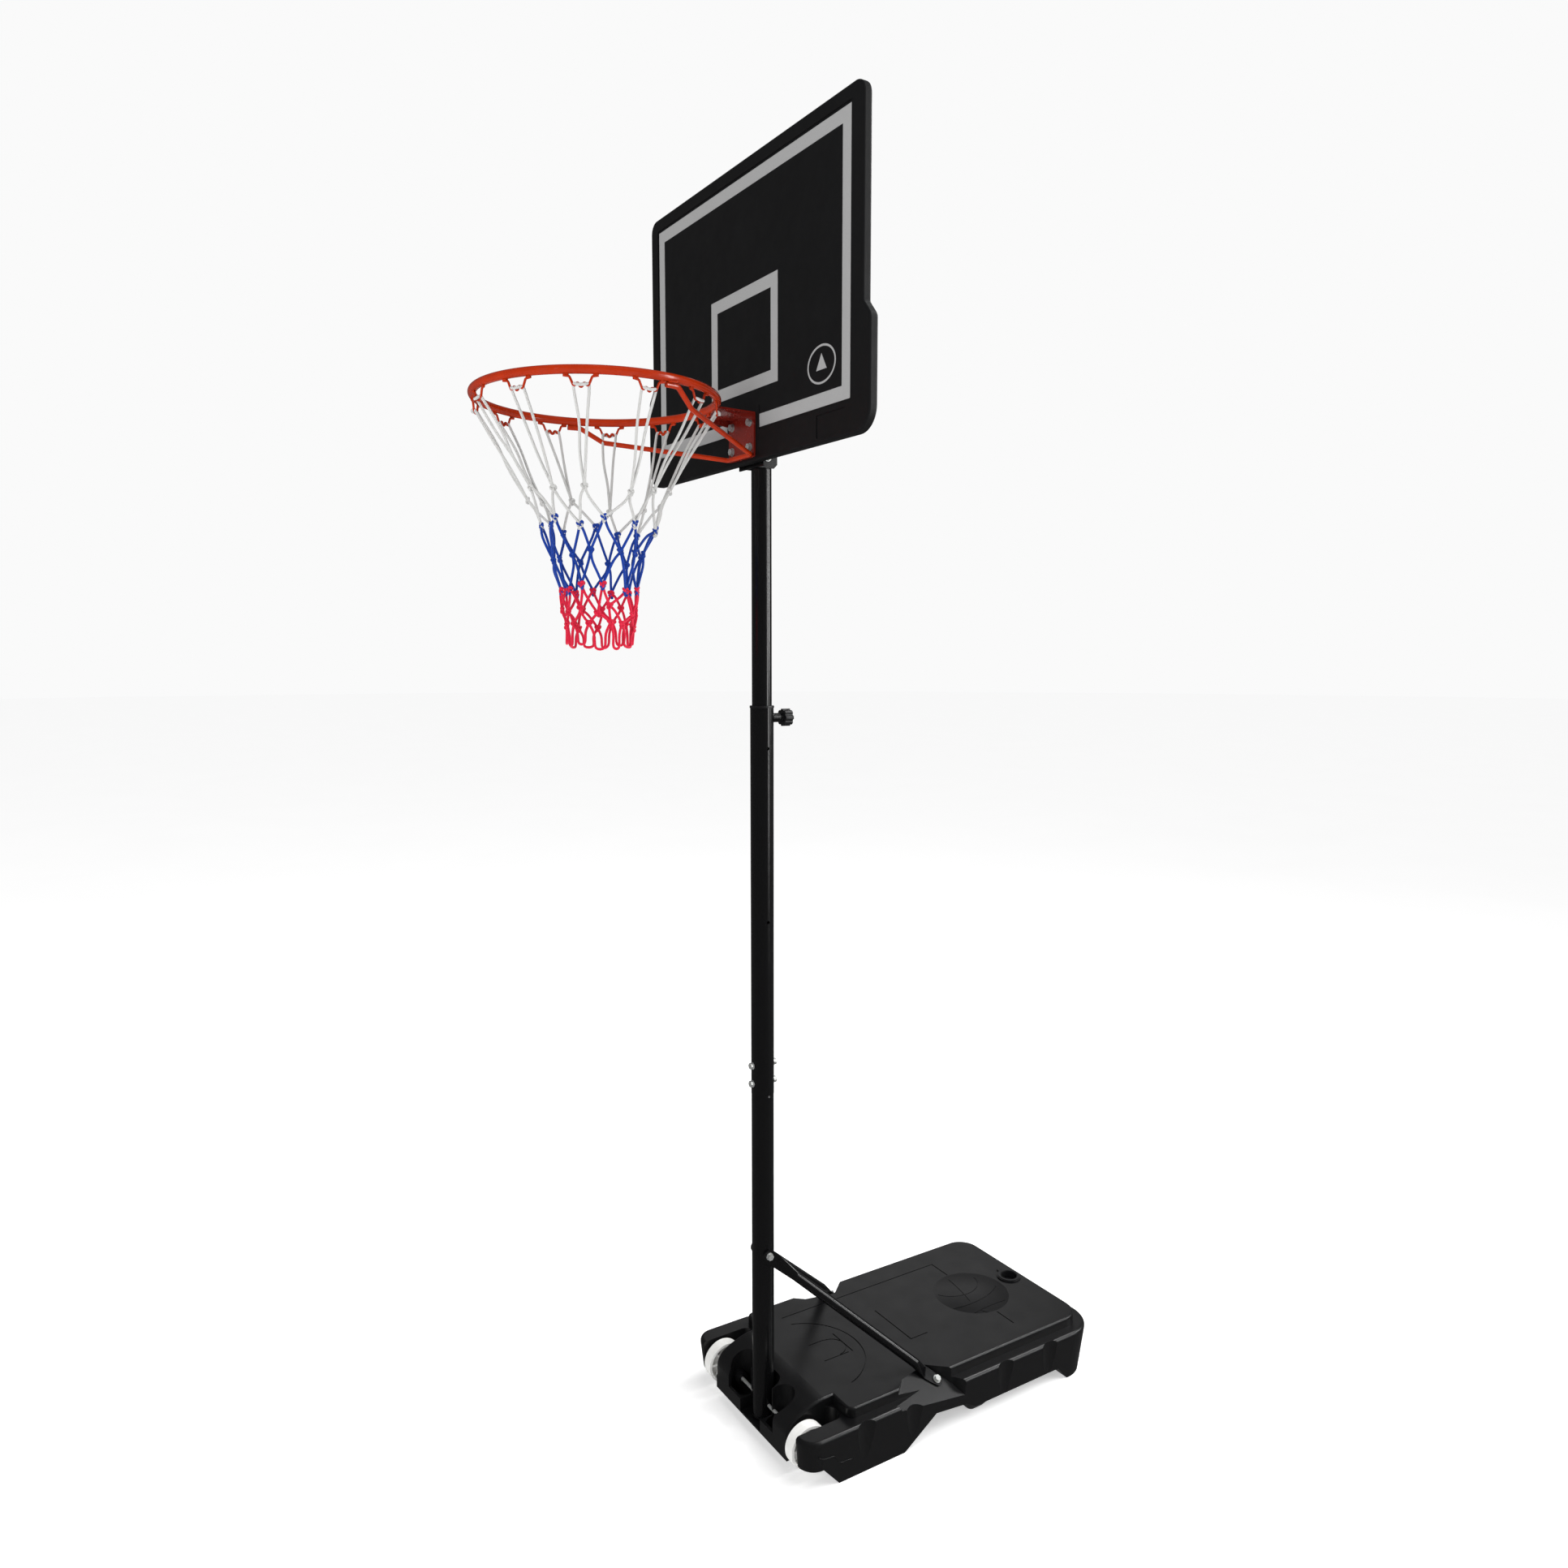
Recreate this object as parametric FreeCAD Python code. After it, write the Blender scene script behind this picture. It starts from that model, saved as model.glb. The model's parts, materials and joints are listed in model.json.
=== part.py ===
import FreeCAD, Part
import math
import os

V = FreeCAD.Vector
os.makedirs("parts", exist_ok=True)

# ---------------------------------------------------------------- driving dimensions (mm)
# Frame: origin on the pole's axis at floor level, +Z up, the rim points along -Y, the tank runs back along +Y.

# ring
RING_INNER_D = 450.0
RING_ROD_R = 8.0
RING_R = RING_INNER_D / 2 + RING_ROD_R
RING_Y = -373.0
RING_Z = 2272.0

# backboard
BOARD_FRONT_Y = -45.3
BOARD_THICK = 20.0
BOARD_BACK_Y = BOARD_FRONT_Y + BOARD_THICK
BOARD_TOP_Z = 2782.0
BOARD_BOTTOM_Z = 2177.0
BOARD_HALF_UPPER = 419.0
BOARD_HALF_LOWER = 441.0
BOARD_STEP_Z = 2378.0
BOARD_STEP_RISE = 26.0
BOARD_WALL = 2.6
PANEL_DEPTH = 2.0
BORDER_HALF = 380.3
BORDER_TOP_Z = 2749.8
BORDER_BOTTOM_Z = 2242.7
STRIPE_W = 26.0
TARGET_HALF = 134.2
TARGET_TOP_Z = 2532.0
TARGET_BOTTOM_Z = 2320.6
PRINT_T = 0.4

# pole
UPPER_R = 21.5
MIDDLE_R = 25.4
LOWER_R = 25.0
POLE_WALL = 1.2
NECK_R = 24.0
FOOT_Z = 42.0
JOINT_Z = 806.0
NECK_TOP_Z = 906.0
MIDDLE_TOP_Z = 1667.0
UPPER_BOTTOM_Z = 1237.0
UPPER_TOP_Z = 2405.0
JOINT_BOLT_Z = (832.0, 873.0)
SIDE_HOLE_Z = (833.0, 1199.0, 1580.0)
SIDE_HOLE_R = 3.5
COLLAR_SKIRT = 70.0
KNOB_Z = 1645.0

# tank
TOP_Z = 143.4
LEDGE_Z = 120.0
LEDGE_HALF = 250.0
LEDGE_REAR_Y = 830.0
NOSE_Y = -44.0
DECK_HALF = 222.0
DECK_FRONT_Y = 86.0
DECK_REAR_Y = 801.0
LOBE_HALF = 157.0
LOBE_FRONT_Y = -36.0
LOBE_PROFILE = [(-36, 88), (-33, 100), (-25, 112), (-12, 122), (8, 131), (32, 139), (62, 143.4)]
LOBE_ROUND = 6.0
BAY_OUT_X = 205.0
BAY_REAR_Y = 82.0
TANK_WALL = 4.0
GROOVE_WIDTH = 2.8
GROOVE_DEPTH = 1.8
FILLER_Y = 763.0
FILLER_R = 24.0
BELLY_PLAN = (-234.0, 234.0, 92.0, 222.0)
BELLY_FLOOR_Z = 5.0
REAR_PLAN = (-232.0, 232.0, 440.0, 812.0)
REAR_RADII = [10, 10, 70, 70]
REAR_FLOOR_Z = 44.0
BALLAST_TOP_Z = 62.0

# wheels and axle
AXLE_Z = 72.0
AXLE_R = 4.0
AXLE_HALF = 211.0
WHEEL_R = 47.5
WHEEL_MID_X = 181.5
WHEEL_W = 27.0

# struts
STRUT_R = 11.0
STRUT_WALL = 1.2
STRUT_TOP_Z = 433.0
STRUT_FLAT_T = 3.4
STRUT_FLAT_HALF = 14.5
SEAT_POINT = V(211.0, 338.0, 118.9)
SEAT_NORMAL = V(0.590, 0.132, 0.797)

# ring bracket
BRACKET_HALF = 51.0
BRACKET_T = 4.0
BRACKET_BOTTOM_Z = 2185.0
BRACKET_BOLT_X = 36.0
BRACKET_BOLT_Z = (2206.0, 2256.0)
BRACE_R = 5.0
HOOK_WIRE_R = 2.2
HOOK_COUNT = 12

X = V(1, 0, 0)
Y = V(0, 1, 0)
Z = V(0, 0, 1)


# ---------------------------------------------------------------- helpers
def save(name, shape):
    shape.exportStep("parts/" + name + ".step")


def group(solids):
    return Part.makeCompound(solids)


def cylinder(radius, start, axis, length):
    return Part.makeCylinder(radius, length, start, axis)


def tube(outer, inner, z0, z1):
    solid = cylinder(outer, V(0, 0, z0), Z, z1 - z0)
    return solid.cut(cylinder(inner, V(0, 0, z0 - 1), Z, z1 - z0 + 2))


def ring_of(outer, inner, start, axis, length):
    return cylinder(outer, start, axis, length).cut(cylinder(inner, start - axis, axis, length + 2))


def box(x0, x1, y0, y1, z0, z1):
    return Part.makeBox(x1 - x0, y1 - y0, z1 - z0, V(x0, y0, z0))


def mirrored(shape):
    return shape.mirror(V(0, 0, 0), X)


def both_sides(shape):
    return [shape, mirrored(shape)]


def fillet_wire(points, radii, closed=True):
    """Wire through the points with a tangent arc of the given radius at each corner."""
    count = len(points)
    edges = []
    ends = []
    for i in range(count):
        here = points[i]
        if not closed and i in (0, count - 1):
            ends.append((here, here))
            continue
        back = (points[i - 1] - here).normalize()
        ahead = (points[(i + 1) % count] - here).normalize()
        if radii[i] <= 0:
            ends.append((here, here))
            continue
        half = back.getAngle(ahead) / 2
        reach = radii[i] / math.tan(half)
        middle = (back + ahead).normalize()
        centre_gap = radii[i] / math.sin(half)
        start = here + back * reach
        stop = here + ahead * reach
        top = here + middle * (centre_gap - radii[i])
        ends.append((start, stop))
        edges.append((i, Part.Arc(start, top, stop).toShape()))
    arcs = dict(edges)
    ordered = []
    for i in range(count):
        if i in arcs:
            ordered.append(arcs[i])
        if i == count - 1 and not closed:
            break
        a = ends[i][1]
        b = ends[(i + 1) % count][0]
        if (b - a).Length > 1e-6:
            ordered.append(Part.LineSegment(a, b).toShape())
    return Part.Wire(ordered)


def slab(outline, radii, z0, z1):
    """Upright prism over a rounded plan outline."""
    wire = fillet_wire([V(x, y, z0) for x, y in outline], radii)
    return Part.Face(wire).extrude(V(0, 0, z1 - z0))


def rect(x0, x1, y0, y1):
    return [(x0, y0), (x1, y0), (x1, y1), (x0, y1)]


def front_slab(outline, radii, y0, y1):
    """Prism along Y over a rounded outline given as (x, z)."""
    wire = fillet_wire([V(x, y0, z) for x, z in outline], radii)
    return Part.Face(wire).extrude(V(0, y1 - y0, 0))


def side_prism(outline, x0, x1):
    """Prism along X over a polygon given as (y, z)."""
    wire = Part.makePolygon([V(x0, y, z) for y, z in outline] + [V(x0, outline[0][0], outline[0][1])])
    return Part.Face(wire).extrude(V(x1 - x0, 0, 0))


def round_top(shape, z, radius):
    """Fillet every edge that lies in the plane at height z."""
    edges = [e for e in shape.Edges if all(abs(v.Z - z) < 1e-4 for v in e.Vertexes)]
    return shape.makeFillet(radius, edges)


def swept_rod(points, radii, radius):
    """Round rod along straight runs joined by tangent arcs."""
    path = fillet_wire(points, radii, closed=False)
    direction = (points[1] - points[0]).normalize()
    profile = Part.Wire([Part.Circle(points[0], direction, radius).toShape()])
    return path.makePipeShell([profile], True, False)


def hexagon(across_flats, height, start, axis):
    """Hexagonal prism from start along axis."""
    corner_r = across_flats / math.sqrt(3)
    side = axis.cross(Z)
    if side.Length < 1e-6:
        side = X
    side = side.normalize()
    other = axis.cross(side).normalize()
    points = []
    for i in range(7):
        angle = math.radians(60 * i)
        points.append(start + side * (corner_r * math.cos(angle)) + other * (corner_r * math.sin(angle)))
    prism = Part.Face(Part.makePolygon(points)).extrude(axis * height)
    crown = cylinder(corner_r * 0.97, start, axis, height)
    return prism.common(crown)


def bolt(seat, axis, radius, across_flats, head_h, length):
    """Hex bolt whose head sits on seat and whose shank runs along axis."""
    head = hexagon(across_flats, head_h, seat, axis * -1)
    return head.fuse(cylinder(radius, seat, axis, length))


def nut(seat, axis, radius, across_flats, height):
    """Hex nut that starts at seat and extends along axis."""
    return hexagon(across_flats, height, seat, axis).cut(cylinder(radius + 0.1, seat - axis, axis, height + 2))


def washer(seat, axis, radius, outer, thick):
    return ring_of(outer, radius + 0.2, seat, axis, thick)


def aligned_box(centre, normal, along, half_along, half_across, thick):
    """Plate centred on a point, lying against a plane, thick along the plane's normal."""
    across = normal.cross(along).normalize()
    corners = []
    for a, b in ((-1, -1), (1, -1), (1, 1), (-1, 1)):
        corners.append(centre + along * (a * half_along) + across * (b * half_across))
    return Part.Face(Part.makePolygon(corners + [corners[0]])).extrude(normal * thick)


# ---------------------------------------------------------------- tank
def tank_outline(inset):
    half = LEDGE_HALF - inset
    return rect(-half, half, NOSE_Y + inset, LEDGE_REAR_Y - inset)


def seat_cutter():
    """Space above the inclined seat where a strut's lower end is bolted, on the +X side."""
    plan = [(181, 327), (197, 249), (240, 200), (275, 230), (275, 400), (252, 398), (226, 378)]
    column = slab(plan, [0] * len(plan), 60, TOP_Z + 20)
    turn = FreeCAD.Rotation(Z, SEAT_NORMAL)
    above = Part.makeBox(400, 400, 200, V(-200, -200, 0))
    above.Placement = FreeCAD.Placement(SEAT_POINT, turn)
    return column.common(above)


def deck_groove(points, width=GROOVE_WIDTH, depth=GROOVE_DEPTH):
    """Straight grooves pressed into the deck, one run after another."""
    runs = []
    for (xa, ya), (xb, yb) in zip(points[:-1], points[1:]):
        along = V(xb - xa, yb - ya, 0)
        length = along.Length
        along = along.normalize()
        middle = V((xa + xb) / 2, (ya + yb) / 2, TOP_Z - depth)
        runs.append(aligned_box(middle, Z, along, length / 2 + width / 2, width / 2, depth + 1))
    return runs


def deck_arc(cx, cy, radius, start, stop, width=GROOVE_WIDTH, depth=GROOVE_DEPTH):
    """Groove along a circular arc on the deck, angles in degrees from +X."""
    band = Part.makeCylinder(radius + width / 2, depth + 1, V(0, 0, 0), Z, stop - start)
    band = band.cut(Part.makeCylinder(radius - width / 2, depth + 1, V(0, 0, 0), Z))
    band.rotate(V(0, 0, 0), Z, start)
    band.translate(V(cx, cy, TOP_Z - depth))
    return band


def make_lobes():
    """Middle of the tank's front between the wheels: the deck's skin curves down to the nose."""
    curve = Part.BSplineCurve()
    curve.interpolate([V(-LOBE_HALF, y, z) for y, z in LOBE_PROFILE])
    rear = 140.0
    floor = 30.0
    outline = [(62, TOP_Z), (rear, TOP_Z), (rear, floor), (LOBE_FRONT_Y, floor), LOBE_PROFILE[0]]
    edges = [curve.toShape()]
    for (ya, za), (yb, zb) in zip(outline[:-1], outline[1:]):
        edges.append(Part.LineSegment(V(-LOBE_HALF, ya, za), V(-LOBE_HALF, yb, zb)).toShape())
    body = Part.Face(Part.Wire(edges)).extrude(V(2 * LOBE_HALF, 0, 0))
    sides = []
    for edge in body.Edges:
        upright = abs(edge.BoundBox.XLength) < 1e-4
        on_skin = min(v.Z for v in edge.Vertexes) >= LOBE_PROFILE[0][1] - 1e-4 and edge.Vertexes[0].Y < rear - 1
        if upright and on_skin:
            sides.append(edge)
    return body.makeFillet(LOBE_ROUND, sides)


def pole_pocket():
    """Space that the pole stands in: a channel open to the front and a round recess on each side."""
    channel = slab(rect(-44, 44, NOSE_Y - 40, 28), [0, 0, 22, 22], 34, TOP_Z + 20)
    recess = cylinder(33, V(80, -4, 34), Z, 140).common(box(40, 120, -29, 40, 30, 200))
    mouth = box(40, 98, NOSE_Y - 40, -4, 62, TOP_Z + 20)
    return channel.fuse(both_sides(recess) + both_sides(mouth))


def ball_seams(sphere_r, sphere_z):
    """Grooves along the ball's seams, sunk into its dome."""
    width = 1.8
    depth = 1.1
    height = 60.0
    low = TOP_Z - 20
    shell = Part.makeSphere(sphere_r, V(6, 626, sphere_z)).cut(Part.makeSphere(sphere_r - depth, V(6, 626, sphere_z)))
    bands = []
    for a, b, c in (((-30, 545), (14, 590), (-40, 675)), ((31, 519), (53, 589), (23, 696))):
        circle = Part.Arc(V(*a, 0), V(*b, 0), V(*c, 0)).toShape().Curve
        angles = [math.degrees(math.atan2(y - circle.Center.y, x - circle.Center.x)) for x, y in (a, c)]
        sweep = (angles[1] - angles[0]) % 360
        band = Part.makeCylinder(circle.Radius + width / 2, height, V(0, 0, 0), Z, sweep)
        band = band.cut(cylinder(circle.Radius - width / 2, V(0, 0, -1), Z, height + 2))
        band.rotate(V(0, 0, 0), Z, angles[0])
        band.translate(V(circle.Center.x, circle.Center.y, low))
        bands.append(band)
    for a, b in (((-69, 613), (43, 589)), ((84, 540), (82, 673)), ((82, 588), (108, 606))):
        along = V(b[0] - a[0], b[1] - a[1], 0)
        middle = V((a[0] + b[0]) / 2, (a[1] + b[1]) / 2, low)
        bands.append(aligned_box(middle, Z, along.normalize(), math.dist(a, b) / 2, width / 2, height))
    return [band.common(shell) for band in bands]


def tank_hollow():
    """Space inside the blow-moulded tank."""
    roof = TOP_Z - TANK_WALL
    middle = slab(rect(-176, 176, 92, 790), [10] * 4, 71, roof)
    belly = slab(rect(*BELLY_PLAN), [10] * 4, BELLY_FLOOR_Z, 112)
    front = slab(rect(-150, 150, 52, 100), [10, 10, 0, 0], 12, roof)
    rear_low = slab(rect(*REAR_PLAN), REAR_RADII, REAR_FLOOR_Z, 112)
    rear_high = slab(rect(-214, 214, 412, 790), [10, 10, 46, 46], 100, roof)
    heel = slab(rect(-224, 224, 744, 792), [10] * 4, 6, 60)
    return middle.fuse([belly, front, rear_low, rear_high, heel])


def make_ballast():
    """Sand that fills the two deep parts of the tank to one level."""
    gap = 0.6
    x0, x1, y0, y1 = BELLY_PLAN
    belly = slab(rect(x0 + gap, x1 - gap, y0 + gap, y1 - gap), [10] * 4, BELLY_FLOOR_Z + gap, BALLAST_TOP_Z)
    x0, x1, y0, y1 = REAR_PLAN
    rear = slab(rect(x0 + gap, x1 - gap, y0 + gap, y1 - gap), REAR_RADII, REAR_FLOOR_Z + gap, BALLAST_TOP_Z)
    return group([belly, rear])


def make_tank():
    corner = [38, 38, 80, 80]
    rim_low = LEDGE_Z - 12
    skirt_bottom = fillet_wire([V(x, y, 0) for x, y in tank_outline(10)], corner)
    skirt_top = fillet_wire([V(x, y, rim_low) for x, y in tank_outline(0)], corner)
    skirt = Part.makeLoft([skirt_bottom, skirt_top], True, True)
    rim = round_top(slab(tank_outline(0), corner, rim_low, LEDGE_Z), LEDGE_Z, 8)
    deck = slab(rect(-DECK_HALF, DECK_HALF, DECK_FRONT_Y, DECK_REAR_Y), [16, 16, 52, 52], rim_low, TOP_Z)
    deck = round_top(deck, TOP_Z, 5)
    lobes = make_lobes()
    front_gap = box(-BAY_OUT_X, BAY_OUT_X, NOSE_Y - 20, LOBE_FRONT_Y, -5, TOP_Z + 20)
    front_well = box(-LOBE_HALF, LOBE_HALF, LOBE_FRONT_Y - 1, 100, 60, TOP_Z + 20)
    solid = skirt.fuse(rim).cut(front_gap).cut(front_well).fuse(lobes).fuse(deck)

    # wheel bays, open to the front, the top and the floor
    bay = slab(rect(LOBE_HALF, BAY_OUT_X, NOSE_Y - 40, BAY_REAR_Y), [0, 0, 20, 20], -5, TOP_Z + 20)
    solid = solid.cut(group(both_sides(bay) + [pole_pocket()]))
    bosses = [cylinder(14, V(94, 0, AXLE_Z), X, 24)]
    solid = solid.fuse(bosses + [mirrored(bosses[0])])

    # underside: raised nose, front belly, arch under the struts, shallow rear and rear foot
    nose = side_prism([(-80, -5), (-80, 50), (2, 50), (46, 0), (46, -5)], LOBE_HALF - 1, 260)
    middle_nose = side_prism([(-80, -5), (-80, 30), (-20, 30), (30, 0), (30, -5)], -LOBE_HALF + 1, LOBE_HALF - 1)
    arch = [(226, -5), (226, 0), (312, 66), (405, 55), (432, 38), (700, 38), (735, 0), (735, -5)]
    rear = [(800, -5), (800, 0), (840, 30), (840, -5)]
    under = both_sides(nose) + [middle_nose, side_prism(arch, -260, 260), side_prism(rear, -260, 260)]
    solid = solid.cut(group(under))
    foot_low = fillet_wire([V(x, y, 0) for x, y in rect(120, 206, 448, 496)], [12] * 4)
    foot_high = fillet_wire([V(x, y, 44) for x, y in rect(112, 240, 432, 508)], [12] * 4)
    foot = Part.makeLoft([foot_low, foot_high], True, True)
    solid = solid.fuse(both_sides(foot))

    # shallow flutes down the side and rear walls
    flute_r = 46.0
    flutes = []
    for y in (112, 246, 520, 664):
        flutes += both_sides(cylinder(flute_r, V(LEDGE_HALF + flute_r - 7, y, -5), Z, 140))
    for x in (-130, 0, 130):
        flutes.append(cylinder(flute_r, V(x, LEDGE_REAR_Y + flute_r - 6, -5), Z, 140))
    solid = solid.cut(group(flutes))
    solid = solid.cut(group(both_sides(seat_cutter())))

    # raised ball emblem and the court lines on the deck
    dome_r = 96.0
    dome_h = 9.0
    sphere_r = (dome_r ** 2 + dome_h ** 2) / (2 * dome_h)
    dome = Part.makeSphere(sphere_r, V(6, 626, TOP_Z + dome_h - sphere_r))
    dome = dome.common(cylinder(dome_r + 4, V(6, 626, TOP_Z - 2), Z, 40))
    solid = solid.fuse(dome).cut(group(ball_seams(sphere_r, TOP_Z + dome_h - sphere_r)))
    court = deck_groove([(-157, 151), (-157, 630), (-94, 630)]) + deck_groove([(108, 622), (166, 622)])
    court += deck_groove([(-59, 366), (84, 366), (84, 415)])
    court += deck_groove([(-25, 143), (-25, 184)]) + deck_groove([(46, 141), (46, 207)])
    court += deck_groove([(-34, 219), (47, 219)])
    court.append(deck_arc(10, 112, 139, 14, 162))
    court.append(deck_arc(10, 186, 33, 0, 180))
    solid = solid.cut(group(court))

    # hollow inside
    hollow = tank_hollow()
    inserts = [cylinder(9, SEAT_POINT + SEAT_NORMAL * 1.0, SEAT_NORMAL * -1, 24)]
    inserts.append(mirrored(inserts[0]))
    keep = [cylinder(14, SEAT_POINT, SEAT_NORMAL * -1, 30)]
    keep.append(mirrored(keep[0]))
    hollow = hollow.cut(group(keep))
    holes = inserts + [cylinder(FILLER_R, V(0, FILLER_Y, 120), Z, 60)]
    holes.append(cylinder(AXLE_R + 0.3, V(-AXLE_HALF - 2, 0, AXLE_Z), X, 2 * AXLE_HALF + 4))
    return solid.cut(hollow).cut(group(holes)).removeSplitter()


def make_filler_plug():
    """Push-in cup with a double flange and a pull tab."""
    cup = cylinder(FILLER_R - 0.4, V(0, FILLER_Y, TOP_Z - 16), Z, 17)
    cup = cup.fuse(cylinder(31, V(0, FILLER_Y, TOP_Z + 0.4), Z, 2.6))
    cup = cup.fuse(ring_of(28, 22, V(0, FILLER_Y, TOP_Z + 3.0), Z, 1.6))
    cup = cup.fuse(box(-40, -26, FILLER_Y - 6, FILLER_Y + 6, TOP_Z + 0.4, TOP_Z + 3.0))
    return cup.cut(cylinder(20.5, V(0, FILLER_Y, TOP_Z - 13.5), Z, 40)).removeSplitter()


# ---------------------------------------------------------------- wheels and axle
def make_wheel():
    x0 = WHEEL_MID_X - WHEEL_W / 2
    centre = V(0, 0, AXLE_Z)
    tread = ring_of(WHEEL_R, WHEEL_R - 6, centre + X * x0, X, WHEEL_W)
    tread = tread.fuse(ring_of(WHEEL_R - 5, 10, centre + X * (WHEEL_MID_X - 2), X, 4))
    tread = tread.fuse(cylinder(11, centre + X * (x0 - 5), X, WHEEL_W + 10))
    for i in range(8):
        spoke = box(x0 + 3, x0 + WHEEL_W - 3, -1.8, 1.8, AXLE_Z + 9, AXLE_Z + WHEEL_R - 5)
        spoke.rotate(centre, X, 45 * i)
        tread = tread.fuse(spoke)
    bore = cylinder(AXLE_R + 0.06, centre + X * (x0 - 10), X, WHEEL_W + 20)
    return tread.cut(bore).removeSplitter()


def make_axle_caps():
    cap = ring_of(8.5, AXLE_R + 0.02, V(WHEEL_MID_X + WHEEL_W / 2 + 5.6, 0, AXLE_Z), X, 2.4)
    return group(both_sides(cap))


# ---------------------------------------------------------------- pole
def cross_hole(axis, radius, z, length=70):
    return cylinder(radius, V(0, 0, z) - axis * (length / 2), axis, length)


def make_lower_pole():
    body = tube(LOWER_R, LOWER_R - POLE_WALL, FOOT_Z, JOINT_Z - 4)
    shoulder = Part.makeCone(LOWER_R, NECK_R, 4, V(0, 0, JOINT_Z - 4))
    shoulder = shoulder.cut(cylinder(NECK_R - POLE_WALL, V(0, 0, JOINT_Z - 5), Z, 6))
    neck = tube(NECK_R, NECK_R - POLE_WALL, JOINT_Z, NECK_TOP_Z)
    body = body.fuse([shoulder, neck])
    holes = [cross_hole(Y, 4.3, z) for z in JOINT_BOLT_Z]
    holes += [cross_hole(X, 4.3, STRUT_TOP_Z), cross_hole(X, AXLE_R + 0.3, AXLE_Z)]
    return body.cut(group(holes)).removeSplitter()


def make_pole_foot():
    """Rounded plastic plug that closes the pole's lower end, pierced by the axle."""
    plug = cylinder(LOWER_R - POLE_WALL - 0.2, V(0, 0, FOOT_Z), Z, 48)
    dome = Part.makeSphere(60, V(0, 0, FOOT_Z + 52)).common(cylinder(LOWER_R, V(0, 0, FOOT_Z - 20), Z, 19.9))
    plug = plug.fuse([dome, cylinder(LOWER_R, V(0, 0, FOOT_Z - 0.4), Z, 0.3)])
    plug = plug.fuse(cylinder(LOWER_R - 3, V(0, 0, FOOT_Z - 2), Z, 4))
    return plug.cut(cross_hole(X, AXLE_R + 0.1, AXLE_Z)).removeSplitter()


def make_middle_pole():
    body = tube(MIDDLE_R, MIDDLE_R - POLE_WALL, JOINT_Z, MIDDLE_TOP_Z)
    holes = [cross_hole(Y, 4.3, z) for z in JOINT_BOLT_Z]
    holes += [cross_hole(X, SIDE_HOLE_R, z) for z in SIDE_HOLE_Z[1:]]
    holes.append(cylinder(5.2, V(0, 0, KNOB_Z), Y, 40))
    return body.cut(group(holes))


def make_collar():
    """Plastic guide on top of the middle pole: a lip outside, a skirt inside."""
    top = MIDDLE_TOP_Z
    skirt = tube(MIDDLE_R - POLE_WALL - 0.1, UPPER_R + 0.4, top - COLLAR_SKIRT, top + 3)
    lip = round_top(cylinder(MIDDLE_R + 1.1, V(0, 0, top + 0.1), Z, 5), top + 5.1, 1.5)
    lip = lip.cut(cylinder(UPPER_R + 0.4, V(0, 0, top - 1), Z, 8))
    body = skirt.fuse(lip)
    return body.cut(cylinder(5.4, V(0, 0, KNOB_Z), Y, 40)).removeSplitter()


def make_upper_pole():
    body = tube(UPPER_R, UPPER_R - POLE_WALL, UPPER_BOTTOM_Z, UPPER_TOP_Z)
    holes = [cross_hole(X, 4.3, z) for z in MOUNT_BOLT_Z]
    return body.cut(group(holes))


def make_glide():
    """Plastic slider on the upper pole's lower end, running inside the middle pole."""
    z0 = UPPER_BOTTOM_Z
    ring = tube(MIDDLE_R - POLE_WALL - 0.4, UPPER_R - POLE_WALL - 3, z0 - 4, z0 - 0.1)
    spigot = tube(UPPER_R - POLE_WALL - 0.2, UPPER_R - POLE_WALL - 3, z0 - 1, z0 + 26)
    return ring.fuse(spigot).removeSplitter()


def make_top_cap():
    z1 = UPPER_TOP_Z
    cap = round_top(cylinder(UPPER_R, V(0, 0, z1 + 0.1), Z, 4), z1 + 4.1, 1.5)
    return cap.fuse(tube(UPPER_R - POLE_WALL - 0.2, UPPER_R - POLE_WALL - 2.2, z1 - 14, z1 + 1)).removeSplitter()


def make_joint_bolts():
    start = MIDDLE_R + 0.2
    return [bolt(V(0, -start - 1.6, z), Y, 4, 13, 5.5, 2 * start + 12) for z in JOINT_BOLT_Z]


def make_joint_nuts():
    return [nut(V(0, MIDDLE_R + 1.8, z), Y, 4, 13, 6.5) for z in JOINT_BOLT_Z]


def make_joint_washers():
    washers = []
    for z in JOINT_BOLT_Z:
        washers.append(washer(V(0, -MIDDLE_R - 1.8, z), Y, 4, 8, 1.5))
        washers.append(washer(V(0, MIDDLE_R + 0.2, z), Y, 4, 8, 1.5))
    return washers


# ---------------------------------------------------------------- clamp knob
SCREW_R = 5.0
BOSS_END_Y = 43.0


def make_knob_boss():
    """Threaded boss welded on the rear of the middle pole."""
    boss = cylinder(10, V(0, MIDDLE_R - 2, KNOB_Z), Y, BOSS_END_Y - MIDDLE_R + 2)
    boss = boss.cut(cylinder(MIDDLE_R, V(0, 0, KNOB_Z - 20), Z, 40))
    return boss.cut(cylinder(SCREW_R + 0.06, V(0, 0, KNOB_Z), Y, 60))


def make_clamp_pad():
    return cylinder(4.6, V(0, UPPER_R + 0.4, KNOB_Z), Y, 1.4)


def make_knob_screw():
    return cylinder(SCREW_R, V(0, UPPER_R + 1.9, KNOB_Z), Y, 72 - UPPER_R - 1.9)


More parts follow.
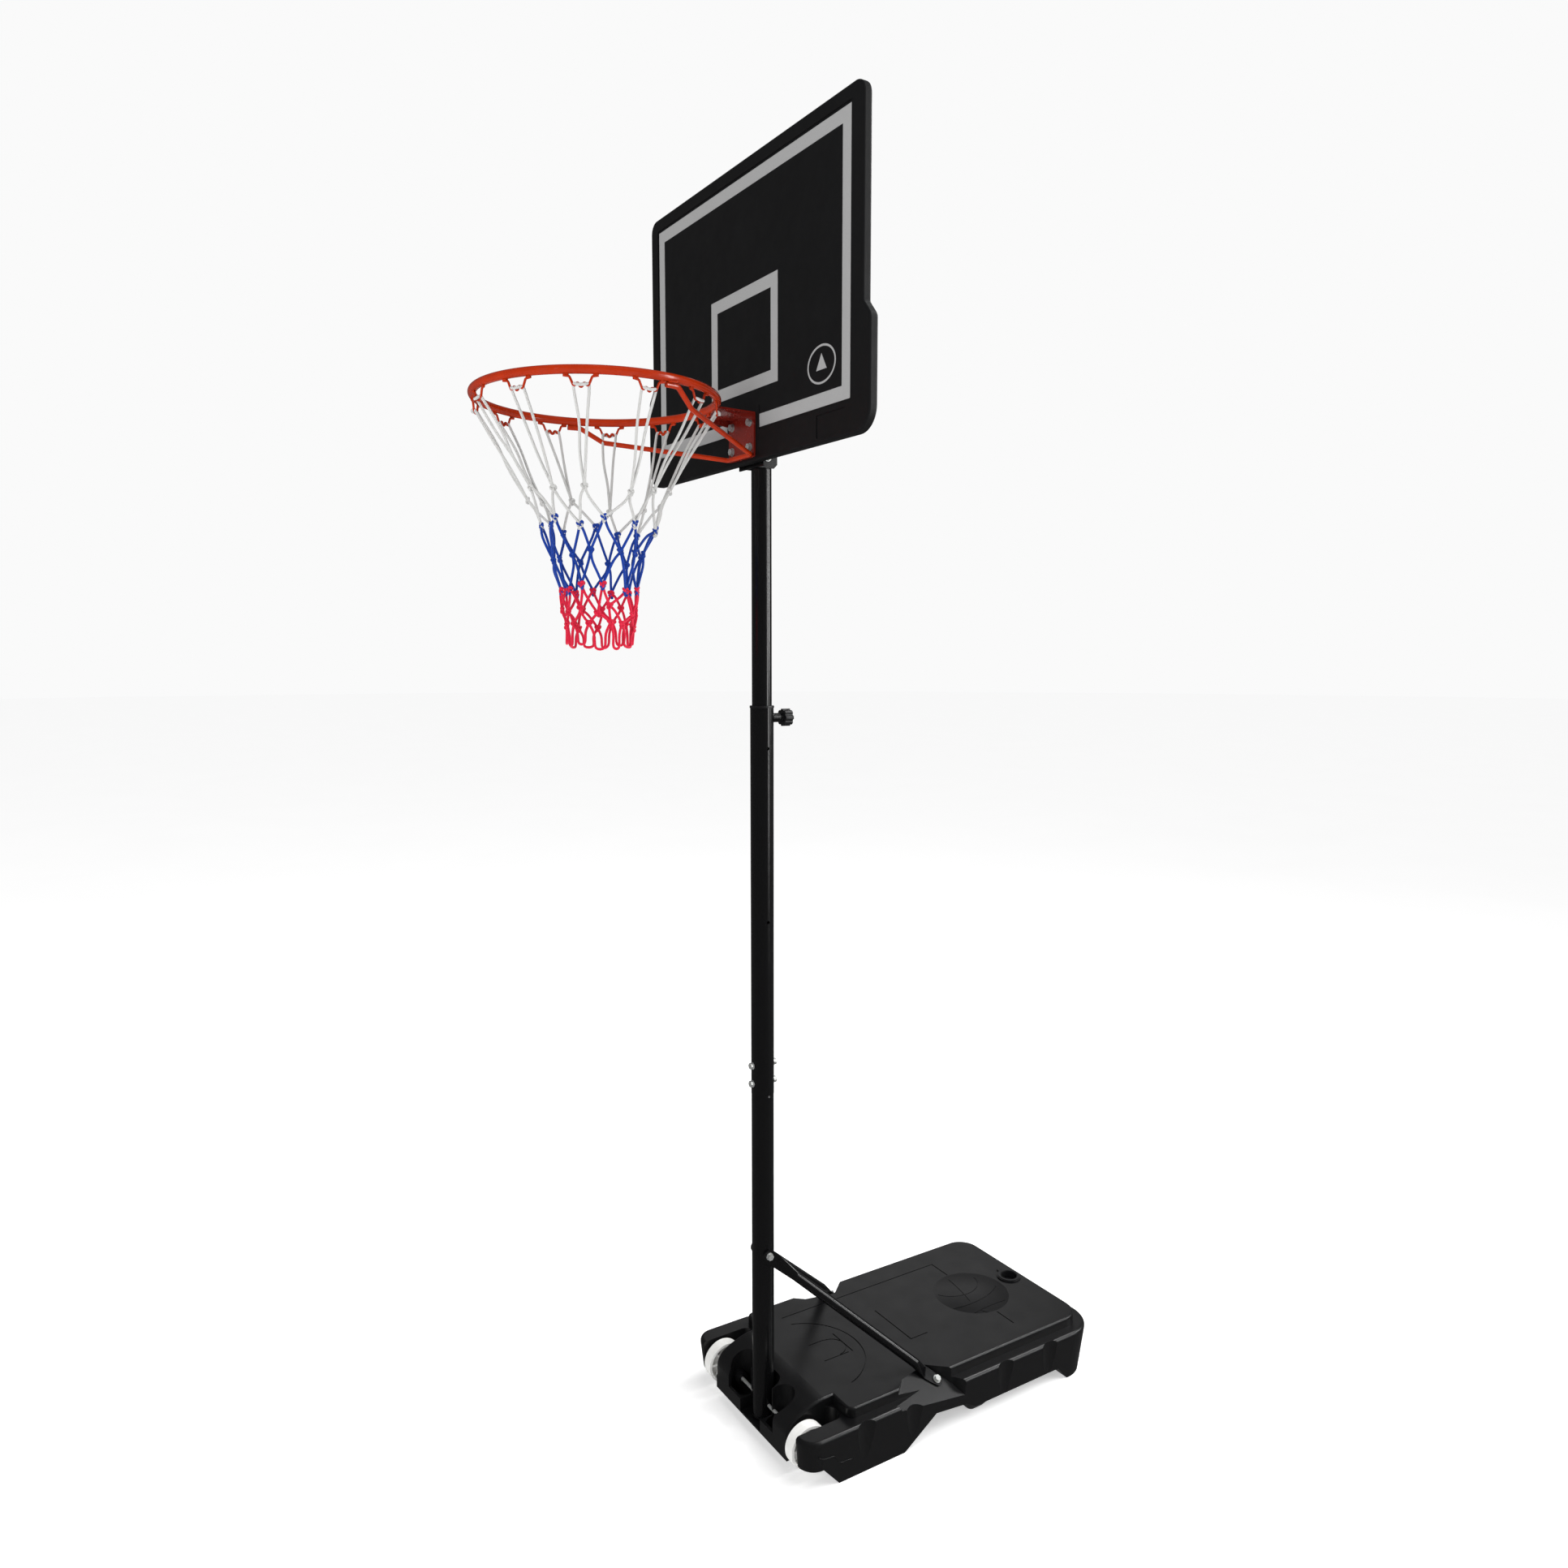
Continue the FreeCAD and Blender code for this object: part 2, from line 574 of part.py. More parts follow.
def make_knob_grip():
    """Star knob with eight rounded lobes and a short hub."""
    face = 51.0
    depth = 20.0
    head = cylinder(19, V(0, face, KNOB_Z), Y, depth)
    for i in range(8):
        angle = math.radians(45 * i + 22.5)
        notch = V(20.4 * math.cos(angle), face - 1, KNOB_Z + 20.4 * math.sin(angle))
        head = head.cut(cylinder(4.2, notch, Y, depth + 2))
    rear = [e for e in head.Edges if all(abs(v.Y - face - depth) < 1e-4 for v in e.Vertexes)]
    head = head.makeFillet(1.5, rear)
    head = head.fuse(cylinder(9.5, V(0, BOSS_END_Y + 2.5, KNOB_Z), Y, face - BOSS_END_Y - 2))
    return head.cut(cylinder(SCREW_R, V(0, 30, KNOB_Z), Y, 42)).removeSplitter()


# ---------------------------------------------------------------- struts
def stadium(centre, along, across, half_len, half_width):
    """Flat oval wire: two straight sides joined by half rounds."""
    straight = half_len - half_width
    a = centre + along * straight + across * half_width
    b = centre - along * straight + across * half_width
    c = centre - along * straight - across * half_width
    d = centre + along * straight - across * half_width
    left = centre - along * half_len
    right = centre + along * half_len
    edges = [Part.LineSegment(a, b).toShape(), Part.Arc(b, left, c).toShape()]
    edges += [Part.LineSegment(c, d).toShape(), Part.Arc(d, right, a).toShape()]
    return Part.Wire(edges)


def quartered_circle(centre, along, across, radius):
    """Circle made of four arcs, to match the four edges of a flat oval."""
    def at(degrees):
        angle = math.radians(degrees)
        return centre + along * (radius * math.cos(angle)) + across * (radius * math.sin(angle))
    return Part.Wire([Part.Arc(at(a), at(a + 45), at(a + 90)).toShape() for a in (45, 135, 225, 315)])


def strut_end(bolt_point, normal, toward, neck_point, axis):
    """Flattened end: a rounded plate at the bolt that swells into the round tube."""
    across = normal.cross(toward).normalize()
    half = STRUT_FLAT_T / 2
    middle = bolt_point + normal * half
    outline = fillet_wire([
        bolt_point - toward * 15 - across * STRUT_FLAT_HALF,
        bolt_point + toward * 30 - across * STRUT_FLAT_HALF,
        bolt_point + toward * 30 + across * STRUT_FLAT_HALF,
        bolt_point - toward * 15 + across * STRUT_FLAT_HALF], [13, 0, 0, 13])
    plate = Part.Face(outline).extrude(normal * STRUT_FLAT_T)
    flat_end = stadium(middle + toward * 30, across, normal, STRUT_FLAT_HALF, half)
    side = axis.cross(across).normalize()
    other = side.cross(axis).normalize()
    if side.dot(normal) < 0:
        side = side * -1
    swell = Part.makeLoft([flat_end, quartered_circle(neck_point, other, side, STRUT_R)], True, True)
    return plate, swell


def make_strut():
    """Strut on the +X side, from the pole's cross bolt to the inclined seat on the tank."""
    top = V(LOWER_R + 0.4, 0, STRUT_TOP_Z)
    low = SEAT_POINT + SEAT_NORMAL * 0.2
    axis = (low - top).normalize()
    toward_low = V(0, axis.y, axis.z).normalize()
    toward_top = (axis - SEAT_NORMAL * axis.dot(SEAT_NORMAL)).normalize() * -1
    low_inner = low + SEAT_NORMAL * 4
    top_inner = top + X * 8
    run = (low_inner - top_inner).normalize()
    neck_top = top_inner + run * 72
    neck_low = low_inner - run * 66
    upper_plate, upper_swell = strut_end(top, X, toward_low, neck_top, run)
    lower_plate, lower_swell = strut_end(low, SEAT_NORMAL, toward_top, neck_low, run * -1)
    length = (neck_low - neck_top).Length
    barrel = cylinder(STRUT_R, neck_top, run, length)
    body = barrel.fuse([upper_plate, upper_swell, lower_plate, lower_swell])
    bore = cylinder(STRUT_R - STRUT_WALL, neck_top, run, length)
    holes = [bore, cylinder(4.3, top - X * 5, X, 20), cylinder(4.3, low - SEAT_NORMAL * 5, SEAT_NORMAL, 20)]
    return body.cut(group(holes))


def make_strut_top_bolt():
    reach = LOWER_R + 0.4 + STRUT_FLAT_T + 1.6
    return bolt(V(reach, 0, STRUT_TOP_Z), X * -1, 4, 13, 5.5, 2 * reach + 10)


def make_strut_top_nut():
    return nut(V(-LOWER_R - 0.4 - STRUT_FLAT_T - 1.6, 0, STRUT_TOP_Z), X * -1, 4, 13, 6.5)


def make_strut_top_washers():
    return both_sides(washer(V(LOWER_R + 0.4 + STRUT_FLAT_T + 0.05, 0, STRUT_TOP_Z), X, 4, 8.5, 1.5))


def make_strut_low_parts():
    seat = SEAT_POINT + SEAT_NORMAL * (0.2 + STRUT_FLAT_T + 0.05)
    insert = ring_of(8.9, 4.1, SEAT_POINT, SEAT_NORMAL * -1, 20)
    one_bolt = bolt(seat + SEAT_NORMAL * 1.6, SEAT_NORMAL * -1, 4, 13, 5.5, 22)
    return one_bolt, washer(seat, SEAT_NORMAL, 4, 9, 1.5), insert


# ---------------------------------------------------------------- backboard and its mount
PANEL_MARGIN = 5.0
LABEL_DEPTH = 1.8
MOUNT_T = 3.0
MOUNT_HALF = 50.0
MOUNT_Z = (2170.0, 2395.0)
MOUNT_BOLT_Z = (2192.0, 2365.0)
CHEEK_IN = UPPER_R + 0.3


def board_outline(inset):
    """Plan of the board as (x, z): wider below the shoulder, large lower corners."""
    up = BOARD_HALF_UPPER - inset
    low = BOARD_HALF_LOWER - inset
    z0 = BOARD_BOTTOM_Z + inset
    z1 = BOARD_TOP_Z - inset
    step = BOARD_STEP_Z - inset * 0.4
    points = [(-low, z0), (low, z0), (low, step), (up, step + BOARD_STEP_RISE), (up, z1)]
    points += [(-up, z1), (-up, step + BOARD_STEP_RISE), (-low, step)]
    return points


def board_radii(cut=0):
    return [46 - cut, 46 - cut, 16 - cut / 2, 10, 26 - cut, 26 - cut, 10, 16 - cut / 2]


def make_board():
    """Blow-moulded board: hollow, with a sunken panel in front and a bolting pad for the bracket."""
    outer = front_slab(board_outline(0), board_radii(), BOARD_FRONT_Y, BOARD_BACK_Y)
    rims = [e for e in outer.Edges if abs(e.BoundBox.YLength) < 1e-4]
    outer = outer.makeFillet(4.5, rims)
    half = BORDER_HALF + PANEL_MARGIN
    low = BORDER_BOTTOM_Z - PANEL_MARGIN
    high = BORDER_TOP_Z + PANEL_MARGIN
    panel = [(-half, low), (half, low), (half, high), (-half, high)]
    sunk = front_slab(panel, [6] * 4, BOARD_FRONT_Y - 2, BOARD_FRONT_Y + PANEL_DEPTH)
    label = front_slab([(273, 2186), (368, 2186), (368, 2229), (273, 2229)], [4] * 4, BOARD_FRONT_Y - 2,
                       BOARD_FRONT_Y + LABEL_DEPTH)
    pad = box(-64, 64, BOARD_FRONT_Y, BOARD_FRONT_Y + PANEL_DEPTH + 1, BORDER_BOTTOM_Z - 12, 2286)
    grooves = []
    for x in (112, 200, 288, 376):
        groove = front_slab([(x - 7, 2236), (x + 7, 2236), (x + 7, 2744), (x - 7, 2744)], [6] * 4, BOARD_BACK_Y - 1.3,
                            BOARD_BACK_Y + 1)
        grooves += both_sides(groove)
    body = outer.cut(group([sunk, label] + grooves)).fuse(pad)
    inner = front_slab(board_outline(7), board_radii(6), BOARD_FRONT_Y + PANEL_DEPTH + BOARD_WALL, BOARD_BACK_Y - BOARD_WALL)
    block = box(-62, 62, BOARD_FRONT_Y, BOARD_BACK_Y, BOARD_BOTTOM_Z - 1, 2284)
    body = body.cut(inner.cut(block))
    holes = [cylinder(4.4, V(x, BOARD_FRONT_Y - 5, z), Y, 40) for x, z in bracket_bolt_places()]
    return body.cut(group(holes)).removeSplitter()


BADGE_HALF_WIDE = 47.0
BADGE_HALF_HIGH = 36.0


def frame_stripe(half, z0, z1):
    """Flat printed frame of one stripe width on the sunken panel."""
    y1 = BOARD_FRONT_Y + PANEL_DEPTH
    outer = box(-half, half, y1 - PRINT_T, y1, z0, z1)
    inner = box(-half + STRIPE_W, half - STRIPE_W, y1 - 5, y1 + 5, z0 + STRIPE_W, z1 - STRIPE_W)
    pad = box(-64.2, 64.2, y1 - 5, y1 + 5, BORDER_BOTTOM_Z - 12, 2286.2)
    return outer.cut(inner).cut(pad)


def make_border():
    return frame_stripe(BORDER_HALF, BORDER_BOTTOM_Z, BORDER_TOP_Z)


def make_target():
    return frame_stripe(TARGET_HALF, TARGET_BOTTOM_Z, TARGET_TOP_Z)


def oval(half_wide, half_high, centre):
    """Thin upright oval plate, as thick as the print."""
    edge = Part.Ellipse(V(half_wide, 0, 0), V(0, half_high, 0), V(0, 0, 0)).toShape()
    plate = Part.Face(Part.Wire([edge])).extrude(V(0, 0, -PRINT_T))
    plate.rotate(V(0, 0, 0), X, 90)
    plate.translate(centre)
    return plate


def make_badge():
    """Plain round badge: an oval ring around a small triangle."""
    y1 = BOARD_FRONT_Y + PANEL_DEPTH
    centre = V(288, y1 - PRINT_T, 2321)
    line = 4.0
    ring = oval(BADGE_HALF_WIDE, BADGE_HALF_HIGH, centre)
    ring = ring.cut(oval(BADGE_HALF_WIDE - line, BADGE_HALF_HIGH - line, centre))
    corners = []
    for i in range(4):
        angle = math.radians(90 + 120 * i)
        corners.append(centre + V(20 * math.cos(angle), 0, 20 * math.sin(angle)))
    triangle = Part.Face(Part.makePolygon(corners)).extrude(V(0, PRINT_T, 0))
    return group([ring, triangle])


def bracket_bolt_places():
    return [(x, z) for x in (-BRACKET_BOLT_X, BRACKET_BOLT_X) for z in BRACKET_BOLT_Z]


def make_mount_channel():
    """Folded steel channel: a plate behind the board and two cheeks that straddle the pole."""
    y0 = BOARD_BACK_Y
    plate = box(-MOUNT_HALF, MOUNT_HALF, y0, y0 + MOUNT_T, MOUNT_Z[0], MOUNT_Z[1])
    cheek = side_prism([(y0 + 1, MOUNT_Z[0]), (16, MOUNT_Z[0]), (24, MOUNT_Z[0] + 8), (24, MOUNT_Z[1] - 8),
                        (16, MOUNT_Z[1]), (y0 + 1, MOUNT_Z[1])], CHEEK_IN, CHEEK_IN + MOUNT_T)
    body = plate.fuse(both_sides(cheek))
    holes = [cylinder(4.4, V(x, y0 - 5, z), Y, 20) for x, z in bracket_bolt_places()]
    holes += [cross_hole(X, 4.3, z, 90) for z in MOUNT_BOLT_Z]
    return body.cut(group(holes)).removeSplitter()


def make_mount_bolts():
    reach = CHEEK_IN + MOUNT_T + 1.7
    return [bolt(V(reach, 0, z), X * -1, 4, 13, 5.5, 2 * reach + 10) for z in MOUNT_BOLT_Z]


def make_mount_nuts():
    return [nut(V(-CHEEK_IN - MOUNT_T - 1.7, 0, z), X * -1, 4, 13, 6.5) for z in MOUNT_BOLT_Z]


def make_mount_washers():
    washers = []
    for z in MOUNT_BOLT_Z:
        washers += both_sides(washer(V(CHEEK_IN + MOUNT_T + 0.1, 0, z), X, 4, 9, 1.5))
    return washers


# ---------------------------------------------------------------- ring, bracket, brace and hooks
def ring_torus(radius):
    return Part.makeTorus(RING_R, radius, V(0, RING_Y, RING_Z), Z)


def make_bracket():
    """Folded plate: an upright bolted to the board and a flange that reaches the ring."""
    y1 = BOARD_FRONT_Y
    top = RING_Z + 3
    upright = front_slab([(-BRACKET_HALF, BRACKET_BOTTOM_Z), (BRACKET_HALF, BRACKET_BOTTOM_Z), (BRACKET_HALF, top),
                          (-BRACKET_HALF, top)], [5, 5, 0, 0], y1 - BRACKET_T, y1)
    front = RING_Y + RING_R - 14
    flange = slab([(-BRACKET_HALF, y1), (-BRACKET_HALF - 8, front), (BRACKET_HALF + 8, front), (BRACKET_HALF, y1)],
                  [0, 0, 0, 0], top - BRACKET_T, top)
    opening = cylinder(RING_R, V(0, RING_Y, RING_Z - 20), Z, 40)
    flange = flange.cut(opening)
    lip = side_prism([(y1 - 1, top - 18), (y1 - 1, top), (y1 - 70, top), (y1 - 70, top - 6)], BRACKET_HALF - 3, BRACKET_HALF)
    body = upright.fuse([flange] + both_sides(lip)).cut(ring_torus(RING_ROD_R))
    holes = [cylinder(4.4, V(x, y1 - 10, z), Y, 20) for x, z in bracket_bolt_places()]
    return body.cut(group(holes)).removeSplitter()


def make_bracket_bolts():
    seat = BOARD_FRONT_Y - BRACKET_T - 1.7
    return [bolt(V(x, seat, z), Y, 4, 13, 5.5, 38) for x, z in bracket_bolt_places()]


def make_bracket_washers():
    washers = []
    for x, z in bracket_bolt_places():
        washers.append(washer(V(x, BOARD_FRONT_Y - BRACKET_T - 1.6, z), Y, 4, 8.5, 1.5))
        washers.append(washer(V(x, BOARD_BACK_Y + MOUNT_T + 0.1, z), Y, 4, 8.5, 1.5))
    return washers


def make_bracket_nuts():
    return [nut(V(x, BOARD_BACK_Y + MOUNT_T + 1.7, z), Y, 4, 13, 6.5) for x, z in bracket_bolt_places()]


def make_brace():
    """One bent rod: two feet under the ring, two sloping legs and a cross run under the bracket."""
    depth = RING_Z - RING_ROD_R - BRACE_R - 0.2
    corner_y = BOARD_FRONT_Y - BRACKET_T - BRACE_R - 0.2
    half = [V(230.5, RING_Y + 34, depth), V(226, RING_Y + 60, depth), V(200, RING_Y + 101, 2229),
            V(46, corner_y, 2190)]
    left = [V(-p.x, p.y, p.z) for p in reversed(half)]
    return swept_rod(half + left, [0, 12, 14, 9, 9, 14, 12, 0], BRACE_R)


def make_hook(angle):
    """W-shaped wire hook under the ring, at an angle from the ring's front."""
    top = RING_Z - RING_ROD_R - HOOK_WIRE_R - 0.1
    profile = [(-31, top), (-20, top - 1.5), (-12, top - 20), (-5.5, top - 9), (0, top - 25),
               (5.5, top - 9), (12, top - 20), (20, top - 1.5), (31, top)]
    turn = math.radians(angle)
    radial = V(math.sin(turn), -math.cos(turn), 0)
    tangent = V(math.cos(turn), math.sin(turn), 0)
    centre = V(0, RING_Y, 0)
    points = [centre + radial * (RING_R - 1) + tangent * t + V(0, 0, z) for t, z in profile]
    return swept_rod(points, [0, 4, 2.8, 2.8, 2.8, 2.8, 2.8, 4, 0], HOOK_WIRE_R)


def make_hooks():
    return [make_hook(360 / HOOK_COUNT * i) for i in range(HOOK_COUNT)]


def make_net():
    """Outer shape of the hanging net: a thin tapered sleeve, open at both ends."""
    wall = 2.5
    outline = [(211, 2218), (109, 2024), (77, 1906), (68, 1788)]
    points = [V(r, 0, z) for r, z in outline] + [V(r - wall, 0, z) for r, z in reversed(outline)]
    face = Part.Face(Part.makePolygon(points + [points[0]]))
    sleeve = face.revolve(V(0, 0, 0), Z, 360)
    sleeve.translate(V(0, RING_Y, 0))
    return sleeve


# ---------------------------------------------------------------- build every node
wheel = make_wheel()
strut = make_strut()
low_bolt, low_washer, low_insert = make_strut_low_parts()

NODES = {
    "base_tank": make_tank(),
    "ballast_sand": make_ballast(),
    "filler_plug": make_filler_plug(),
    "wheel_right": wheel,
    "wheel_left": mirrored(wheel),
    "axle_rod": cylinder(AXLE_R, V(-AXLE_HALF, 0, AXLE_Z), X, 2 * AXLE_HALF),
    "axle_caps": make_axle_caps(),
    "lower_pole": make_lower_pole(),
    "pole_foot": make_pole_foot(),
    "middle_pole": make_middle_pole(),
    "pole_collar": make_collar(),
    "joint_bolts": group(make_joint_bolts()),
    "joint_washers": group(make_joint_washers()),
    "joint_nuts": group(make_joint_nuts()),
    "knob_boss": make_knob_boss(),
    "clamp_pad": make_clamp_pad(),
    "knob_screw": make_knob_screw(),
    "knob_grip": make_knob_grip(),
    "strut_right": strut,
    "strut_left": mirrored(strut),
    "strut_top_bolt": make_strut_top_bolt(),
    "strut_top_washers": group(make_strut_top_washers()),
    "strut_top_nut": make_strut_top_nut(),
    "strut_base_bolts": group(both_sides(low_bolt)),
    "strut_base_washers": group(both_sides(low_washer)),
    "strut_base_inserts": group(both_sides(low_insert)),
    "upper_pole": make_upper_pole(),
    "upper_pole_glide": make_glide(),
    "upper_pole_cap": make_top_cap(),
    "mount_channel": make_mount_channel(),
    "mount_bolts": group(make_mount_bolts()),
    "mount_washers": group(make_mount_washers()),
    "mount_nuts": group(make_mount_nuts()),
    "backboard": make_board(),
    "border_stripe": make_border(),
    "target_stripe": make_target(),
    "round_badge": make_badge(),
    "ring_bracket": make_bracket(),
    "bracket_bolts": group(make_bracket_bolts()),
    "bracket_washers": group(make_bracket_washers()),
    "bracket_nuts": group(make_bracket_nuts()),
    "rim_ring": ring_torus(RING_ROD_R),
    "brace_rod": make_brace(),
    "net_hooks": group(make_hooks()),
    "net": make_net(),
}

for node, shape in NODES.items():
    save(node, shape)
    if not shape.isValid() or any(s.Volume <= 0 for s in shape.Solids) or not shape.Solids:
        print("CHECK", node, shape.isValid(), len(shape.Solids), shape.Volume)
print(len(NODES), "nodes")
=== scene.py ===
"""Looks of a portable basketball hoop: finishes, net, welds, threads, seams and a plain stage."""

import json
import math
import random

import bmesh
import bpy
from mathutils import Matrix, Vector


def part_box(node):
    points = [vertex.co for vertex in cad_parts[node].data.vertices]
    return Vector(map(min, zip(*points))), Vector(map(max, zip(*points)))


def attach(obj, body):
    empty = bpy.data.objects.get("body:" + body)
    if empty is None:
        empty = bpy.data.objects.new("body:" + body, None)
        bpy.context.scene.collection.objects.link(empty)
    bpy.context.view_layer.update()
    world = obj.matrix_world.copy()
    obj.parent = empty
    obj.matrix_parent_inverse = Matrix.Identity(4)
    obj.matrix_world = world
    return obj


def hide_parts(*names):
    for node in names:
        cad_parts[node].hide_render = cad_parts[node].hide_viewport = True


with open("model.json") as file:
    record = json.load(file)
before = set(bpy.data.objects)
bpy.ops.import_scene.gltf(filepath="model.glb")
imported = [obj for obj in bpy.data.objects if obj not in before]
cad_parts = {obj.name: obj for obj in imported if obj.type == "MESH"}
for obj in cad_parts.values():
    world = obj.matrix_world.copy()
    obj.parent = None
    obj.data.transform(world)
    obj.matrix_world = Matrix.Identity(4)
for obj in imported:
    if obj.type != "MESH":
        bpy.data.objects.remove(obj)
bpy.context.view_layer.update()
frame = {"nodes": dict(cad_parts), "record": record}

bl_info = {
    "name": "Portable Basketball Hoop",
    "version": (1, 0, 0),
    "blender": (4, 5, 0),
    "location": "View3D > Sidebar > Hoop",
    "description": "Finishes a basketball hoop and adds its net, welds, threads, seams and stage",
    "category": "Object",
}

MM = 0.001

# The ring's own places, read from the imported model.
RING_LOW, RING_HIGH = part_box("rim_ring")
RING_CENTRE = (RING_LOW + RING_HIGH) / 2
ROD_RADIUS = (RING_HIGH.z - RING_LOW.z) / 2
RING_RADIUS = (RING_HIGH.x - RING_LOW.x) / 2 - ROD_RADIUS
HOOK_COUNT = 12
HOOK_STEP = 360 / HOOK_COUNT
HOOK_WIRE = 2.2 * MM
HOOK_TOP = RING_LOW.z - HOOK_WIRE
NET_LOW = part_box("net")[0].z

# Sockets of a colour mix: its factor, its two colours and its result.
MIX_FACTOR, MIX_FIRST, MIX_SECOND = 0, 6, 7
MIX_RESULT = 2
# Most of a noise pattern lies between these two values.
NOISE_LOW, NOISE_HIGH = 0.3, 0.7


# ---------------------------------------------------------------- colours and shader nodes
def linear(hex_code):
    """sRGB hex colour as linear RGBA."""
    channels = [int(hex_code[i:i + 2], 16) / 255 for i in (1, 3, 5)]
    return [c / 12.92 if c <= 0.04045 else ((c + 0.055) / 1.055) ** 2.4 for c in channels] + [1.0]


def add_node(tree, kind, settings, links=()):
    """Adds a shader node with its settings and with links from other nodes' outputs."""
    node = tree.nodes.new(kind)
    for key, value in settings.items():
        if isinstance(key, int) or key in node.inputs:
            node.inputs[key].default_value = value
        else:
            setattr(node, key, value)
    for socket, output in dict(links).items():
        tree.links.new(output, node.inputs[socket])
    return node


def per_metre(size_mm):
    """Texture scale that gives one feature every size_mm millimetres."""
    return 1000.0 / size_mm


def new_tree(name):
    """Empty material and its node tree."""
    material = bpy.data.materials.new(name)
    material.use_nodes = True
    material.node_tree.nodes.clear()
    return material, material.node_tree


def finish_tree(tree, settings, links):
    """Closes a material with its shader and output."""
    shader = add_node(tree, "ShaderNodeBsdfPrincipled", settings, links)
    add_node(tree, "ShaderNodeOutputMaterial", {}, {"Surface": shader.outputs[0]})


def surface(name, base, shade, patch_mm, rough, grain_mm, relief_mm, shader, roll_mm=0.0):
    """Material with patches of two near colours, uneven gloss and a fine raised grain.

    rough is the lowest and highest roughness; roll_mm is the height of a slow waviness of the skin.
    """
    wipe_mm = patch_mm * 0.37
    swell_mm = 90
    material, tree = new_tree(name)
    place = add_node(tree, "ShaderNodeTexCoord", {}).outputs["Object"]
    patches = add_node(tree, "ShaderNodeTexNoise",
                       {"Scale": per_metre(patch_mm), "Detail": 5.0, "Roughness": 0.6},
                       {"Vector": place})
    colour = add_node(tree, "ShaderNodeMix",
                      {"data_type": "RGBA", MIX_FIRST: base, MIX_SECOND: shade},
                      {MIX_FACTOR: patches.outputs["Fac"]})
    wipe = add_node(tree, "ShaderNodeTexNoise", {"Scale": per_metre(wipe_mm), "Detail": 6.0},
                    {"Vector": place})
    gloss = add_node(tree, "ShaderNodeMapRange",
                     {"From Min": NOISE_LOW, "From Max": NOISE_HIGH,
                      "To Min": rough[0], "To Max": rough[1]},
                     {"Value": wipe.outputs["Fac"]})
    grain = add_node(tree, "ShaderNodeTexNoise", {"Scale": per_metre(grain_mm), "Detail": 3.0},
                     {"Vector": place})
    bump = add_node(tree, "ShaderNodeBump", {"Strength": 1.0, "Distance": relief_mm * MM},
                    {"Height": grain.outputs["Fac"]})
    if roll_mm:
        swell = add_node(tree, "ShaderNodeTexNoise", {"Scale": per_metre(swell_mm), "Detail": 1.0},
                         {"Vector": place})
        bump = add_node(tree, "ShaderNodeBump", {"Strength": 1.0, "Distance": roll_mm * MM},
                        {"Height": swell.outputs["Fac"], "Normal": bump.outputs["Normal"]})
    finish_tree(tree, shader,
                {"Base Color": colour.outputs[MIX_RESULT], "Roughness": gloss.outputs["Result"],
                 "Normal": bump.outputs["Normal"]})
    return material


def braided_polyester(name, base, shade):
    """Braided polyester cord: two sets of yarns cross on the diagonal, fuzzy and without gloss,
    with painted shade in the gaps between the yarns.
    """
    # One unit of the map is one cord diameter, 5.4 mm. The waves repeat every 2 pi / (20 * scale)
    # units, so the yarns lie 0.9 mm apart and cross every 1.3 mm along the cord.
    wave_scale = 1.9
    relief_mm = 0.4
    material, tree = new_tree(name)
    along = add_node(tree, "ShaderNodeTexCoord", {}).outputs["UV"]
    waves = []
    for slope in (1.0, -1.0):
        lean = add_node(tree, "ShaderNodeMapping",
                        {"Rotation": (0.0, 0.0, slope * math.radians(45))}, {"Vector": along})
        waves.append(add_node(tree, "ShaderNodeTexWave",
                              {"Scale": wave_scale, "Distortion": 0.6, "Detail": 1.0},
                              {"Vector": lean.outputs["Vector"]}).outputs["Fac"])
    crossing = add_node(tree, "ShaderNodeMath", {"operation": "MAXIMUM"},
                        {0: waves[0], 1: waves[1]})
    # Where both yarn waves are low the cord takes its second colour: painted shade in the gaps
    # between the yarns, from the same height as the bump.
    colour = add_node(tree, "ShaderNodeMix",
                      {"data_type": "RGBA", MIX_FIRST: shade, MIX_SECOND: base},
                      {MIX_FACTOR: crossing.outputs["Value"]})
    bump = add_node(tree, "ShaderNodeBump", {"Strength": 0.8, "Distance": relief_mm * MM},
                    {"Height": crossing.outputs["Value"]})
    finish_tree(tree, {"Roughness": 0.85, "Sheen Weight": 0.12, "Sheen Roughness": 0.5,
                       "Specular IOR Level": 0.3},
                {"Base Color": colour.outputs[MIX_RESULT], "Normal": bump.outputs["Normal"]})
    return material


